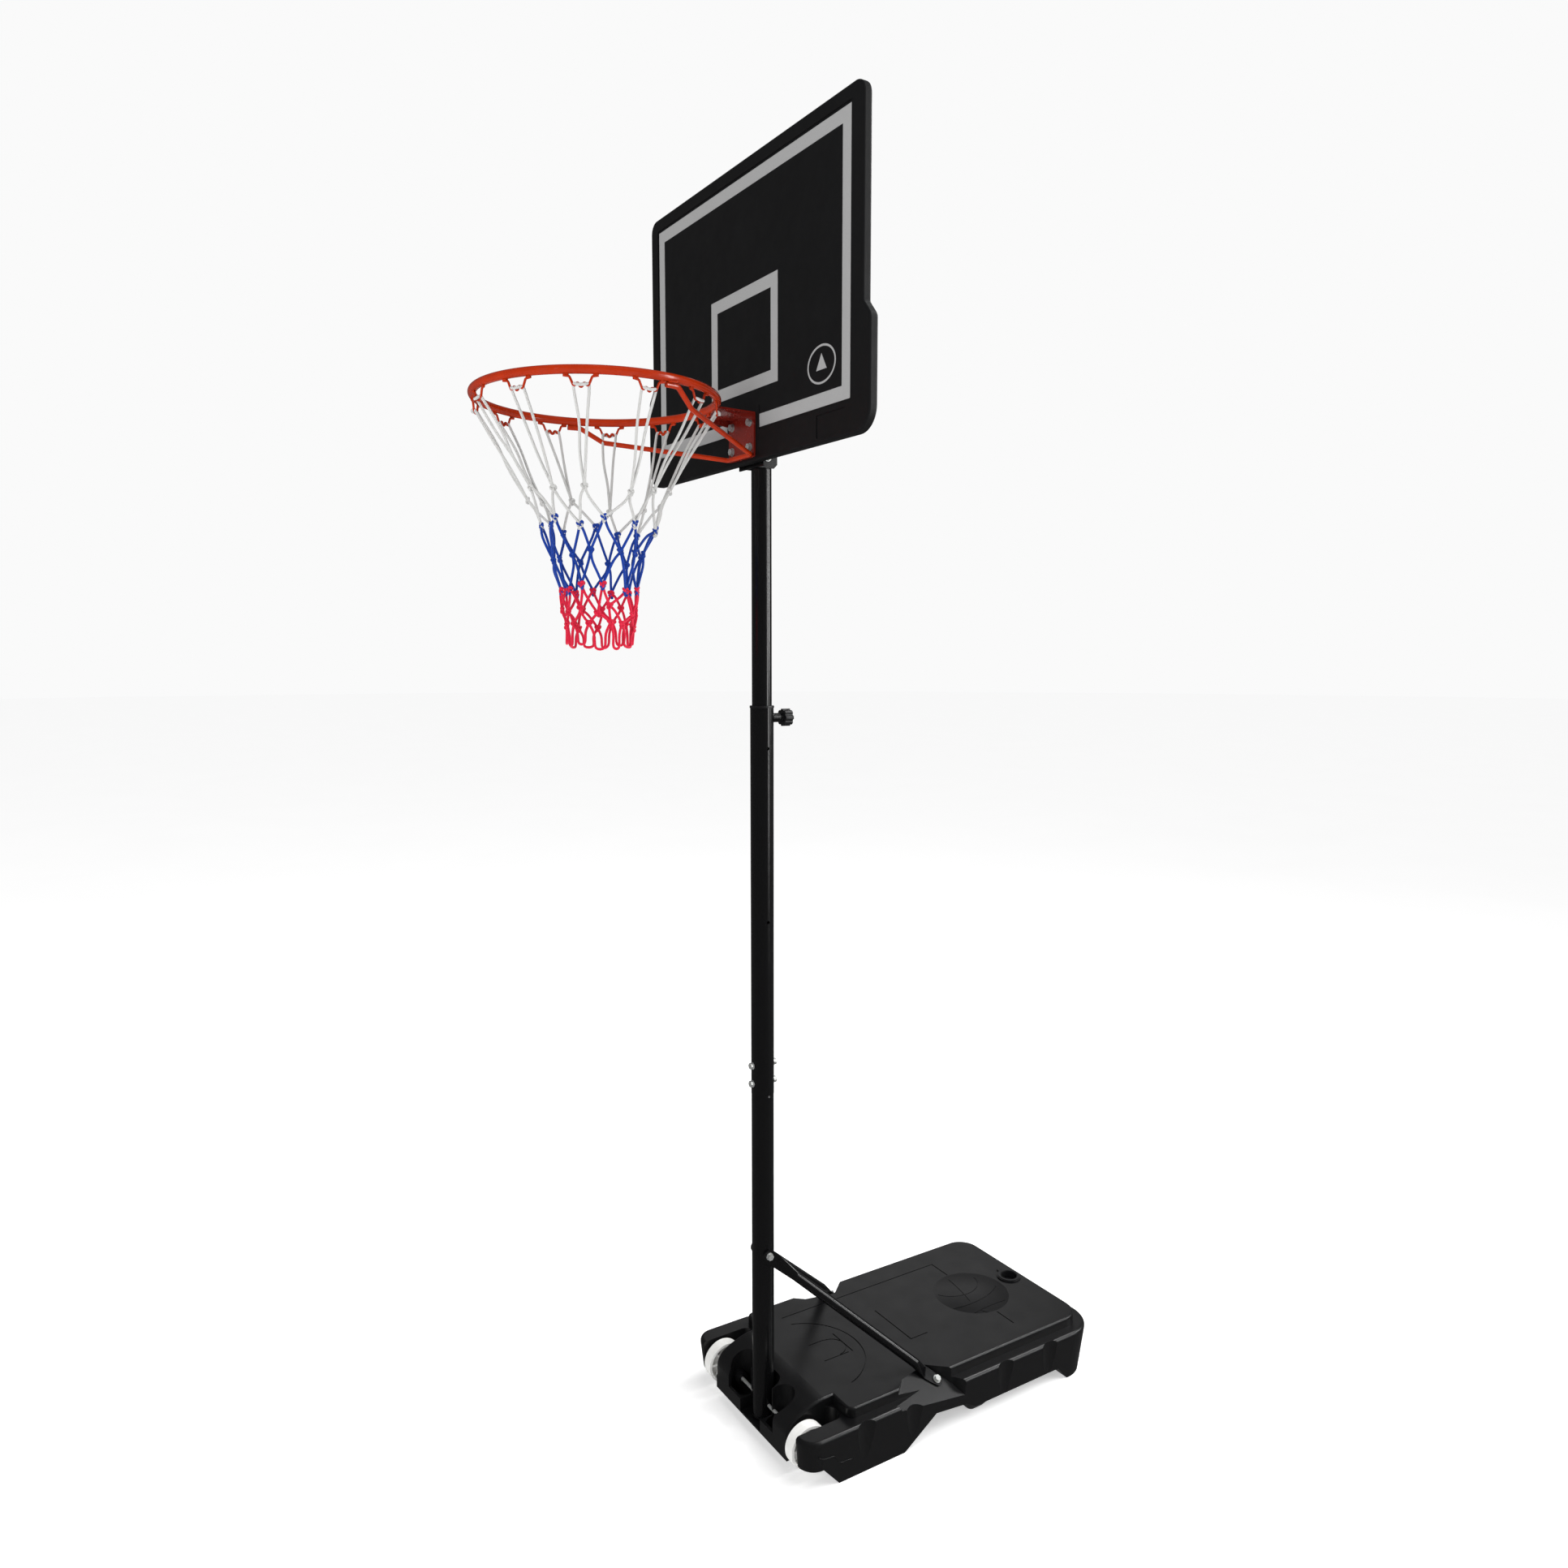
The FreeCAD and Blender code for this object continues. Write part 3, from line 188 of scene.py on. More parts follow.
def zinc_plate(name):
    """Zinc-plated steel under a milky passivation film.

    The film makes it pale bluish grey, faintly cloudy, half mirror and half matt.
    """
    cloud_mm = 7
    # Turning marks lie about 0.3 mm apart on a real bolt. They are drawn at 0.6 mm, to show.
    mark_mm = 0.6
    relief_mm = 0.02
    material, tree = new_tree(name)
    place = add_node(tree, "ShaderNodeTexCoord", {}).outputs["Object"]
    cloud = add_node(tree, "ShaderNodeTexNoise", {"Scale": per_metre(cloud_mm), "Detail": 4.0},
                     {"Vector": place})
    colour = add_node(tree, "ShaderNodeMix",
                      {"data_type": "RGBA", MIX_FIRST: linear("#C9CDD2"),
                       MIX_SECOND: linear("#A9A79C")},
                      {MIX_FACTOR: cloud.outputs["Fac"]})
    gloss = add_node(tree, "ShaderNodeMapRange",
                     {"From Min": NOISE_LOW, "From Max": NOISE_HIGH,
                      "To Min": 0.22, "To Max": 0.42},
                     {"Value": cloud.outputs["Fac"]})
    marks = add_node(tree, "ShaderNodeTexNoise", {"Scale": per_metre(mark_mm), "Detail": 2.0},
                     {"Vector": place})
    bump = add_node(tree, "ShaderNodeBump", {"Strength": 0.5, "Distance": relief_mm * MM},
                    {"Height": marks.outputs["Fac"]})
    finish_tree(tree, {"Metallic": 0.6},
                {"Base Color": colour.outputs[MIX_RESULT], "Roughness": gloss.outputs["Result"],
                 "Normal": bump.outputs["Normal"]})
    return material


def screen_ink(name, base, shade):
    """Screen-printed vinyl ink on etched polyethylene: flat light grey, with fine thin spots."""
    # The real etched grain is about 1 mm. Here and on the board it is drawn at 2.4 mm, to show,
    # and the ink is thinnest at the middle of each grain.
    pore_mm = 2.4
    sweep_mm = 160
    relief_mm = 0.1
    material, tree = new_tree(name)
    place = add_node(tree, "ShaderNodeTexCoord", {}).outputs["Object"]
    pores = add_node(tree, "ShaderNodeTexVoronoi", {"Scale": per_metre(pore_mm)}, {"Vector": place})
    thin = add_node(tree, "ShaderNodeMapRange",
                    {"From Min": 0.0, "From Max": 0.35, "To Min": 0.55, "To Max": 0.0},
                    {"Value": pores.outputs["Distance"]})
    sweep = add_node(tree, "ShaderNodeTexNoise",
                     {"Scale": per_metre(sweep_mm), "Detail": 6.0, "Roughness": 0.65},
                     {"Vector": place})
    amount = add_node(tree, "ShaderNodeMath", {"operation": "MULTIPLY"},
                      {0: thin.outputs["Result"], 1: sweep.outputs["Fac"]})
    colour = add_node(tree, "ShaderNodeMix",
                      {"data_type": "RGBA", MIX_FIRST: base, MIX_SECOND: shade},
                      {MIX_FACTOR: amount.outputs["Value"]})
    bump = add_node(tree, "ShaderNodeBump", {"Strength": 0.6, "Distance": relief_mm * MM},
                    {"Height": pores.outputs["Distance"]})
    finish_tree(tree, {"Roughness": 0.6, "Specular IOR Level": 0.35},
                {"Base Color": colour.outputs[MIX_RESULT], "Normal": bump.outputs["Normal"]})
    return material


def make_materials(colours):
    """Every finish of the hoop, by the record's slot name."""
    made = {}
    # Powder coat on tube bakes to a faint orange peel: long highlights have soft, broken edges.
    made["painted"] = surface(
        "powder_coated_steel_satin_black", colours.tube, linear("#0A0A0B"), patch_mm=60,
        rough=(0.2, 0.26), grain_mm=2.0, relief_mm=0.004, shader={"Specular IOR Level": 0.42})
    # Gloss powder coat pools at bends and welds, which gives sharp highlights and darker low spots.
    made["orange"] = surface(
        "powder_coated_steel_gloss_orange", colours.ring, linear("#962406"), patch_mm=35,
        rough=(0.16, 0.26), grain_mm=3.0, relief_mm=0.05,
        shader={"Coat Weight": 0.3, "Coat Roughness": 0.05})
    # The bracket's thicker coat is wavy over its pressed folds, so its reflections break up.
    made["bracket"] = surface(
        "powder_coated_steel_gloss_red", colours.bracket, linear("#6A1A12"), patch_mm=22,
        rough=(0.16, 0.3), grain_mm=9.0, relief_mm=0.5,
        shader={"Coat Weight": 0.6, "Coat Roughness": 0.05})
    made["zinc"] = zinc_plate("zinc_plated_steel_passivated")
    # Turned brass: warm yellow, darker where it has tarnished.
    made["brass"] = surface(
        "brass_knurled_insert", linear("#B08D4C"), linear("#8C6B34"), patch_mm=6,
        rough=(0.25, 0.4), grain_mm=0.8, relief_mm=0.03, shader={"Metallic": 1.0})
    # Blow-moulded polyethylene is waxy: no clear reflections, a broad sheen on every rounded edge.
    made["tank"] = surface(
        "polyethylene_blow_moulded_tank", colours.tank, linear("#0E0E0F"), patch_mm=140,
        rough=(0.3, 0.36), grain_mm=2.2, relief_mm=0.05, shader={"Specular IOR Level": 0.45},
        roll_mm=0.3)
    # The board's mould is etched, so its face is duller and grainier than the tank.
    made["board"] = surface(
        "polyethylene_blow_moulded_board_etched", colours.board, linear("#161617"), patch_mm=90,
        rough=(0.52, 0.6), grain_mm=2.4, relief_mm=0.12, shader={"Specular IOR Level": 0.3},
        roll_mm=0.25)
    made["stripe"] = screen_ink("vinyl_ink_screen_printed_grey", colours.ink, linear("#5E5E5F"))
    # Injection-moulded caps and knobs take a fine spark-eroded grain from the mould.
    made["plastic"] = surface(
        "polypropylene_injection_moulded_black", linear("#0D0D0E"), linear("#18181A"), patch_mm=30,
        rough=(0.32, 0.48), grain_mm=1.4, relief_mm=0.03, shader={"Specular IOR Level": 0.5})
    # White moulded plastic is never quite even: slightly greyer patches all over each wheel.
    made["wheel"] = surface(
        "polypropylene_injection_moulded_white", colours.wheel, linear("#DCDBD7"), patch_mm=18,
        rough=(0.38, 0.55), grain_mm=1.6, relief_mm=0.05, shader={"Specular IOR Level": 0.5})
    # Loose quartz sand: pale buff grains without gloss.
    made["sand"] = surface(
        "quartz_sand_loose_fill", linear("#B49A70"), linear("#7F6A48"), patch_mm=4,
        rough=(0.8, 0.95), grain_mm=1.2, relief_mm=0.5, shader={})
    # The second colour of each cord is painted shade for the gaps between its yarns.
    made["net_top"] = braided_polyester("polyester_cord_braided_white", colours.cord_top,
                                        linear("#8E8E8C"))
    made["net_middle"] = braided_polyester("polyester_cord_braided_blue", colours.cord_middle,
                                           linear("#052068"))
    made["net_bottom"] = braided_polyester("polyester_cord_braided_red", colours.cord_bottom,
                                           linear("#98102A"))
    made["net"] = made["net_top"]
    return made


def material_for(slot):
    """The finish of a slot; the finishes are made once, from the panel's colours."""
    if not hasattr(material_for, "made"):
        material_for.made = make_materials(bpy.context.scene.hoop_colours)
    return material_for.made[slot]


# ---------------------------------------------------------------- meshes
def smooth_path(points, steps, closed=False):
    """Even-tempered curve through the points, steps samples to each span."""
    count = len(points)
    spans = count if closed else count - 1
    path = []
    for i in range(spans):
        if closed:
            a, b, c, d = (points[(i + k) % count] for k in (-1, 0, 1, 2))
        else:
            b, c = points[i], points[i + 1]
            a = points[i - 1] if i > 0 else b * 2 - c
            d = points[i + 2] if i + 2 < count else c * 2 - b
        for k in range(steps):
            t = k / steps
            path.append(0.5 * (b * 2 + (c - a) * t + (a * 2 - b * 5 + c * 4 - d) * t ** 2
                               + (b * 3 - a - c * 3 + d) * t ** 3))
    if not closed:
        path.append(points[-1].copy())
    return path


class TubeMesh:
    """Collects tubes into one mesh, with a UV map in cord diameters along and around each tube."""

    # Map units around a tube: its girth is 3.14 diameters, rounded so that the pattern closes.
    AROUND = 3.0

    def __init__(self):
        self.vertices = []
        self.faces = []
        self.corners = []

    def add(self, path, radius, sides=8, closed=False, widths=None):
        """Adds a tube along a path; widths scale the radius at each point."""
        count = len(path)
        first = len(self.vertices)
        ahead = []
        for i in range(count):
            if closed or 0 < i < count - 1:
                step = path[(i + 1) % count] - path[i - 1]
            else:
                step = path[min(i + 1, count - 1)] - path[max(i - 1, 0)]
            ahead.append(step.normalized())
        side = ahead[0].orthogonal().normalized()
        lengths = [0.0]
        for i in range(count):
            if i:
                lengths.append(lengths[-1] + (path[i] - path[i - 1]).length)
            side = (side - ahead[i] * side.dot(ahead[i])).normalized()
            other = ahead[i].cross(side)
            r = radius * (widths[i] if widths else 1.0)
            for j in range(sides):
                turn = 2 * math.pi * j / sides
                self.vertices.append(path[i] + side * (r * math.cos(turn))
                                     + other * (r * math.sin(turn)))
        unit = 2 * radius
        for i in range(count if closed else count - 1):
            after = (i + 1) % count
            v0 = lengths[i] / unit
            reached = lengths[i + 1] if i + 1 < count else lengths[i] + (path[0] - path[i]).length
            v1 = reached / unit
            for j in range(sides):
                k = (j + 1) % sides
                self.faces.append((first + i * sides + j, first + i * sides + k,
                                   first + after * sides + k, first + after * sides + j))
                u0 = self.AROUND * j / sides
                u1 = self.AROUND * (j + 1) / sides
                self.corners += [(u0, v0), (u1, v0), (u1, v1), (u0, v1)]
        if not closed:
            low = tuple(first + j for j in reversed(range(sides)))
            high = tuple(first + (count - 1) * sides + j for j in range(sides))
            self.faces += [low, high]
            self.corners += [(0.0, 0.0)] * (2 * sides)

    def build(self, name, slot, body, part_of=None):
        """Makes the object, rides it on its body and gives it its finish."""
        mesh = bpy.data.meshes.new(name)
        mesh.from_pydata([tuple(v) for v in self.vertices], [], self.faces)
        layer = mesh.uv_layers.new(name="UVMap")
        for corner, uv in zip(layer.data, self.corners):
            corner.uv = uv
        mesh.polygons.foreach_set("use_smooth", [len(p.vertices) == 4 for p in mesh.polygons])
        mesh.update()
        made = bpy.data.objects.new(name, mesh)
        bpy.context.scene.collection.objects.link(made)
        made.data.materials.append(material_for(slot))
        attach(made, body)
        return made


def helix(start, axis, length, radius, pitch, per_turn=14):
    """Points of a screw thread's crest around an axis."""
    side = axis.orthogonal().normalized()
    other = axis.cross(side)
    count = int(length / pitch * per_turn)
    points = []
    for i in range(count + 1):
        turn = 2 * math.pi * i / per_turn
        points.append(start + axis * (pitch * i / per_turn) + side * (radius * math.cos(turn))
                      + other * (radius * math.sin(turn)))
    return points


# ---------------------------------------------------------------- net
def ring_point(degrees, radius, z, sideways=0.0):
    """Point around the ring's axis, at an angle from the ring's front."""
    turn = math.radians(degrees)
    radial = Vector((math.sin(turn), -math.cos(turn), 0))
    tangent = Vector((math.cos(turn), math.sin(turn), 0))
    place = Vector((RING_CENTRE.x, RING_CENTRE.y, 0)) + radial * radius + tangent * sideways
    place.z = z
    return place


# Each row of knots: its height and radius in metres, then how far a knot strays round in degrees,
# and out and up in metres.
NET_ROWS = (
    (2.084, 0.136, 6.0, 0.005, 0.012),
    (2.030, 0.109, 6.5, 0.005, 0.012),
    (1.968, 0.090, 6.5, 0.005, 0.009),
    (1.908, 0.077, 7.0, 0.004, 0.007),
    (1.866, 0.070, 8.0, 0.004, 0.010),
    (1.838, 0.067, 8.0, 0.004, 0.009),
)
# The rows where the cord changes colour.
MIDDLE_FROM = 1
BOTTOM_FROM = 3
CORD_SIDES = 8

# Where a loop of cord passes its hook, in millimetres: sideways from the hook's middle, and up from
# the cord's seat in the hook.
LOOP_FRONT_UP = -1.5
LOOP_FRONT = (7, -1)
LOOP_OVER = (12.2, 0.6)
LOOP_BEHIND = (13.5, -7)
LEG_SWAY = 3
HOOK_DROP = 20 * MM
CORD_GAP = 0.3 * MM


def cord_band(row):
    """Colour band of a row of knots and of the cords below it."""
    return "top" if row < MIDDLE_FROM else "middle" if row < BOTTOM_FROM else "bottom"


def cord_between(start, end, slack, rng):
    """Soft cord between two knots, bowed a little to one side."""
    sample_length = 0.012
    span = end - start
    aside = Vector((rng.uniform(-1, 1), rng.uniform(-1, 1), rng.uniform(-0.3, 0.3)))
    bow = span.cross(aside).normalized()
    bow = bow * (span.length * slack * rng.uniform(0.4, 1.0))
    points = [start, start.lerp(end, 0.3) + bow * 0.9,
              start.lerp(end, 0.68) + bow * rng.uniform(0.3, 0.8), end]
    return smooth_path(points, max(3, int(span.length / sample_length)))


def add_knot(tubes, centre, size, cord_radius, rng, squash):
    """Overhand knot: a closed trefoil of cord, pulled tight; squash stretches it upright."""
    samples = 24
    thinness = 2.4
    tilt = rng.uniform(0, 2 * math.pi)
    lean = rng.uniform(-0.4, 0.4)
    radial = (centre - Vector((RING_CENTRE.x, RING_CENTRE.y, centre.z))).normalized()
    across = Vector((0, 0, 1)).cross(radial)
    up = (Vector((0, 0, 1)) + across * lean).normalized()
    points = []
    for i in range(samples):
        t = 2 * math.pi * i / samples + tilt
        a = (math.sin(t) + 2 * math.sin(2 * t)) / 3
        b = (math.cos(t) - 2 * math.cos(2 * t)) / 3
        c = -math.sin(3 * t) / thinness
        points.append(centre + (across * a + up * (b * squash) + radial * c) * size)
    tubes.add(points, cord_radius, 6, closed=True)


class HoopNetSettings(bpy.types.PropertyGroup):
    """Sizes of the net."""

    cord_diameter: bpy.props.FloatProperty(
        name="Cord diameter", description="Thickness of the braided cord",
        default=0.0054, min=0.003, max=0.008, unit="LENGTH")
    knot_size: bpy.props.FloatProperty(
        name="Knot size", description="Half width of a knot",
        default=0.0053, min=0.003, max=0.01, unit="LENGTH")
    slack: bpy.props.FloatProperty(
        name="Slack", description="How far a cord bows between its knots, as a share of its length",
        default=0.09, min=0.0, max=0.3)
    seed: bpy.props.IntProperty(name="Seed", description="Changes how the knots stray", default=11)


class HOOP_OT_hang_net(bpy.types.Operator):
    """Hang the knotted net from the hooks"""

    bl_idname = "hoop.hang_net"
    bl_label = "Hang Net"

    def execute(self, context):
        settings = context.scene.hoop_net
        rng = random.Random(settings.seed)
        cord = settings.cord_diameter / 2
        parts = {"top": TubeMesh(), "middle": TubeMesh(), "bottom": TubeMesh()}
        knots = self.scatter_knots(rng)
        self.loop_hooks(parts["top"], knots[0], cord, rng)
        for row in range(len(NET_ROWS) - 1):
            for i in range(HOOK_COUNT):
                lower = (i, i - 1) if row % 2 == 0 else (i, (i + 1) % HOOK_COUNT)
                for j in lower:
                    path = cord_between(knots[row][i], knots[row + 1][j], settings.slack, rng)
                    parts[cord_band(row)].add(path, cord, CORD_SIDES)
        self.hem(parts["bottom"], knots[-1], cord, rng)
        self.tie_knots(parts, knots, settings.knot_size, cord, rng)
        for name, tubes in parts.items():
            made = tubes.build("net_cords_" + name, "net_" + name, "mast", "net")
            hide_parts("net")
        return {"FINISHED"}

    def scatter_knots(self, rng):
        """Places of the knots, row by row, each strayed a little from its even place."""
        knots = []
        for row, (z, radius, stray_round, stray_out, stray_up) in enumerate(NET_ROWS):
            half_turn = HOOK_STEP / 2 * (row % 2)
            places = []
            for i in range(HOOK_COUNT):
                turn = HOOK_STEP * i + half_turn + rng.uniform(-stray_round, stray_round)
                out = radius + rng.uniform(-stray_out, stray_out)
                places.append(ring_point(turn, out, z + rng.uniform(-stray_up, stray_up)))
            knots.append(places)
        return knots

    def loop_hooks(self, tubes, knots, cord, rng):
        """Loops of cord from the first knots up over each hook and back."""
        seat = HOOK_TOP - HOOK_DROP + HOOK_WIRE + cord
        wire = RING_RADIUS - 1 * MM
        clear = HOOK_WIRE + cord + CORD_GAP
        for i in range(HOOK_COUNT):
            angle = HOOK_STEP * i
            knot = knots[i]
            halves = []
            for side in (-1, 1):
                low = ring_point(angle, wire - clear, seat + LOOP_BEHIND[1] * MM,
                                 side * LOOP_BEHIND[0] * MM)
                sway = rng.uniform(-1, 1)
                leg = [low.lerp(knot, 0.33), low.lerp(knot, 0.66)]
                leg[0] += Vector((sway, rng.uniform(-1, 1), 0)) * LEG_SWAY * MM
                leg[1] += Vector((-sway, rng.uniform(-1, 1), 0)) * LEG_SWAY * MM
                front = ring_point(angle, wire + clear, seat + LOOP_FRONT[1] * MM,
                                   side * LOOP_FRONT[0] * MM)
                over = ring_point(angle, wire, seat + LOOP_OVER[1] * MM, side * LOOP_OVER[0] * MM)
                halves.append([front, over, low] + leg + [knot])
            middle = ring_point(angle, wire + clear, seat + LOOP_FRONT_UP * MM)
            points = list(reversed(halves[0])) + [middle] + halves[1]
            tubes.add(smooth_path(points, 5), cord, CORD_SIDES)

    def hem(self, tubes, knots, cord, rng):
        """Hanging bights of cord between the last row's knots."""
        for i in range(HOOK_COUNT):
            a, b = knots[i], knots[(i + 1) % HOOK_COUNT]
            low = (a + b) / 2
            low.z = NET_LOW + cord + rng.uniform(2, 14) * MM
            out = (low - Vector((RING_CENTRE.x, RING_CENTRE.y, low.z))).normalized()
            points = [a, a.lerp(low, 0.55) + (a - low) * 0.1, low + (a - b) * 0.2,
                      low + (b - a) * 0.2, b.lerp(low, 0.55) + (b - low) * 0.1, b]
            points[2] += out * rng.uniform(-4, 2) * MM
            tubes.add(smooth_path(points, 4), cord, CORD_SIDES)

    def tie_knots(self, parts, knots, size, cord, rng):
        """Knots of every row; where the colour changes, the upper cord is tied in just below."""
        for row, places in enumerate(knots):
            for place in places:
                add_knot(parts[cord_band(row)], place, size, cord, rng, squash=1.15)
                if row in (MIDDLE_FROM, BOTTOM_FROM):
                    below = place - Vector((0, 0, size * 0.9))
                    add_knot(parts[cord_band(row - 1)], below, size * 0.75, cord * 0.9, rng,
                             squash=1.3)


# ---------------------------------------------------------------- welds, threads and seams
def bead(tubes, points, radius, rng, steps=4):
    """Weld bead: a tube whose width ripples along its length and thins at both ends."""
    end_width = 0.35
    path = smooth_path(points, steps)
    widths = [rng.uniform(0.78, 1.15) for _ in path]
    widths[0] = end_width
    widths[-1] = end_width
    tubes.add(path, radius, 7, widths=widths)


class HOOP_OT_lay_welds(bpy.types.Operator):
    """Lay the weld beads on the ring, its hooks, the brace and the clamp boss"""

    bl_idname = "hoop.lay_welds"
    bl_label = "Lay Welds"

    def execute(self, context):
        rng = random.Random(3)
        tubes = TubeMesh()
        self.weld_ring(tubes, rng)
        self.weld_hooks(tubes, rng)
        self.weld_brace(tubes, rng)
        tubes.build("ring_weld_beads", "orange", "mast", "orange")
        self.weld_boss(rng)
        return {"FINISHED"}

    def weld_ring(self, tubes, rng):
        """Beads above and below the bracket's edge, round the back of the ring."""
        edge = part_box("ring_bracket")[1]
        reach = math.degrees(math.asin((edge.x - 6 * MM) / RING_RADIUS))
        for rise, outward in ((0.2 * MM, 8.4 * MM), (-4.6 * MM, 9.4 * MM)):
            arc = [ring_point(180 + reach * (k / 12 - 1), RING_RADIUS + outward, edge.z + rise)
                   for k in range(25)]
            bead(tubes, arc, 2.4 * MM, rng, 3)

    def weld_hooks(self, tubes, rng):
        """Short beads on both sides of each hook's two feet."""
        height = HOOK_TOP + 1.6 * MM
        for i in range(HOOK_COUNT):
            for side in (-1, 1):
                for outward in (-2.4 * MM, 0.6 * MM):
                    line = [ring_point(HOOK_STEP * i, RING_RADIUS + outward, height, side * t * MM)
                            for t in (21, 24.5, 28, 31.5)]
                    bead(tubes, line, 1.5 * MM, rng, 3)

    def weld_brace(self, tubes, rng):
        """Beads on both sides of each end of the bent brace rod."""
        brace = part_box("brace_rod")[1]
        height = brace.z + 0.6 * MM
        for side in (-1, 1):
            for inward in (1 * MM, 9 * MM):
                line = []
                for k in range(5):
                    y = RING_CENTRE.y + (36 + 5 * k) * MM
                    line.append(Vector((side * (brace.x - inward), y, height)))
                bead(tubes, line, 1.9 * MM, rng, 3)

    def weld_boss(self, rng):
        """Bead round the foot of the clamp boss, following the pole's curve."""
        sides = 24
        low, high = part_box("knob_boss")
        middle = (low + high) / 2
        radius = (high.x - low.x) / 2 + 0.8 * MM
        pole_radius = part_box("middle_pole")[1].x
        loop = []
        for k in range(sides):
            turn = 2 * math.pi * k / sides
            x = radius * math.cos(turn)
            loop.append(Vector((x, math.sqrt(pole_radius ** 2 - x ** 2) + 0.6 * MM,
                                middle.z + radius * math.sin(turn))))
        path = smooth_path(loop, 2, closed=True)
        widths = [rng.uniform(0.8, 1.15) for _ in path]
        boss = TubeMesh()
        boss.add(path, 1.6 * MM, 7, closed=True, widths=widths)
        boss.build("boss_weld_bead", "painted", "stand", "painted")


class HOOP_OT_cut_threads(bpy.types.Operator):
    """Cut the threads that show past the nuts and behind the clamp knob"""

    bl_idname = "hoop.cut_threads"
    bl_label = "Cut Threads"

    # Body, then each pair of nuts and bolts with the way the bolt's end points.
    BOLTS = (
        ("stand", (("joint_nuts", "joint_bolts", "Y"), ("strut_top_nut", "strut_top_bolt", "-X"))),
        ("mast", (("mount_nuts", "mount_bolts", "-X"), ("bracket_nuts", "bracket_bolts", "Y"))),
    )

    def execute(self, context):
        pitch = 1.25 * MM
        crest = 0.42 * MM
        shank = 4.0 * MM
        for body, rows in self.BOLTS:
            tubes = TubeMesh()
            for nuts, bolts, way in rows:
                bolt_low, bolt_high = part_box(bolts)
                nut_low, nut_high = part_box(nuts)
                for across, z in self.centres(nuts, way):
                    if way == "Y":
                        start = Vector((across, nut_high.y, z))
                        axis = Vector((0, 1, 0))
                        length = bolt_high.y - nut_high.y
                    else:
                        start = Vector((nut_low.x, across, z))
                        axis = Vector((-1, 0, 0))
                        length = nut_low.x - bolt_low.x
                    tubes.add(helix(start, axis, length - crest, shank, pitch), crest, 5)
            tubes.build("bolt_threads_" + body, "zinc", body, "zinc")
        self.thread_clamp_screw()
        return {"FINISHED"}

    def thread_clamp_screw(self):
        """Thread between the clamp boss and the knob, hidden for a little way inside both."""
        pitch = 1.5 * MM
        crest = 0.4 * MM
        hidden = 1 * MM
        boss_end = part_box("knob_boss")[1].y
        low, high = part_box("knob_screw")
        middle = (low + high) / 2
        start = Vector((middle.x, boss_end - hidden, middle.z))
        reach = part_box("knob_grip")[0].y - boss_end + 2 * hidden
        screw = TubeMesh()
        screw.add(helix(start, Vector((0, 1, 0)), reach, (high.x - low.x) / 2, pitch), crest, 5)
        screw.build("knob_screw_thread", "zinc", "knob", "zinc")

    def centres(self, node, way):
        """Centres of a node's separate nuts, across their own axis."""
        mesh = bmesh.new()
        mesh.from_mesh(frame["nodes"][node].data)
        bmesh.ops.remove_doubles(mesh, verts=mesh.verts, dist=1e-6)
        seen = set()
        places = []
        for vert in mesh.verts:
            if vert in seen:
                continue
            island = [vert]
            seen.add(vert)
            for found in island:
                for edge in found.link_edges:
                    after = edge.other_vert(found)
                    if after not in seen:
                        seen.add(after)
                        island.append(after)
            low = [min(v.co[k] for v in island) for k in range(3)]
            high = [max(v.co[k] for v in island) for k in range(3)]
            across = 0 if way == "Y" else 1
            places.append(((low[across] + high[across]) / 2, (low[2] + high[2]) / 2))
        mesh.free()
        return places


def section_loop(node, point, normal):
    """Longest outline of a CAD node where a plane cuts it."""
    mesh = bmesh.new()
    mesh.from_mesh(frame["nodes"][node].data)
    bmesh.ops.remove_doubles(mesh, verts=mesh.verts, dist=1e-6)
    cut = bmesh.ops.bisect_plane(mesh, geom=mesh.verts[:] + mesh.edges[:] + mesh.faces[:],
                                 dist=1e-7, plane_co=point, plane_no=normal)["geom_cut"]
    # A dict keeps the edges in the mesh's own order, so that the outline starts at the same place
    # in every run.
    edges = dict.fromkeys(e for e in cut if isinstance(e, bmesh.types.BMEdge))
    loops = []
    while edges:
        edge = next(iter(edges))
        del edges[edge]
        first, here = edge.verts
        loop = [first.co.copy(), here.co.copy()]
        while here is not first:
            following = next((e for e in here.link_edges if e in edges), None)
            if following is None:
                break
            del edges[following]
            here = following.other_vert(here)
            loop.append(here.co.copy())
        loops.append(loop)
    mesh.free()
    return max(loops, key=lambda line: sum((b - a).length for a, b in zip(line, line[1:])))


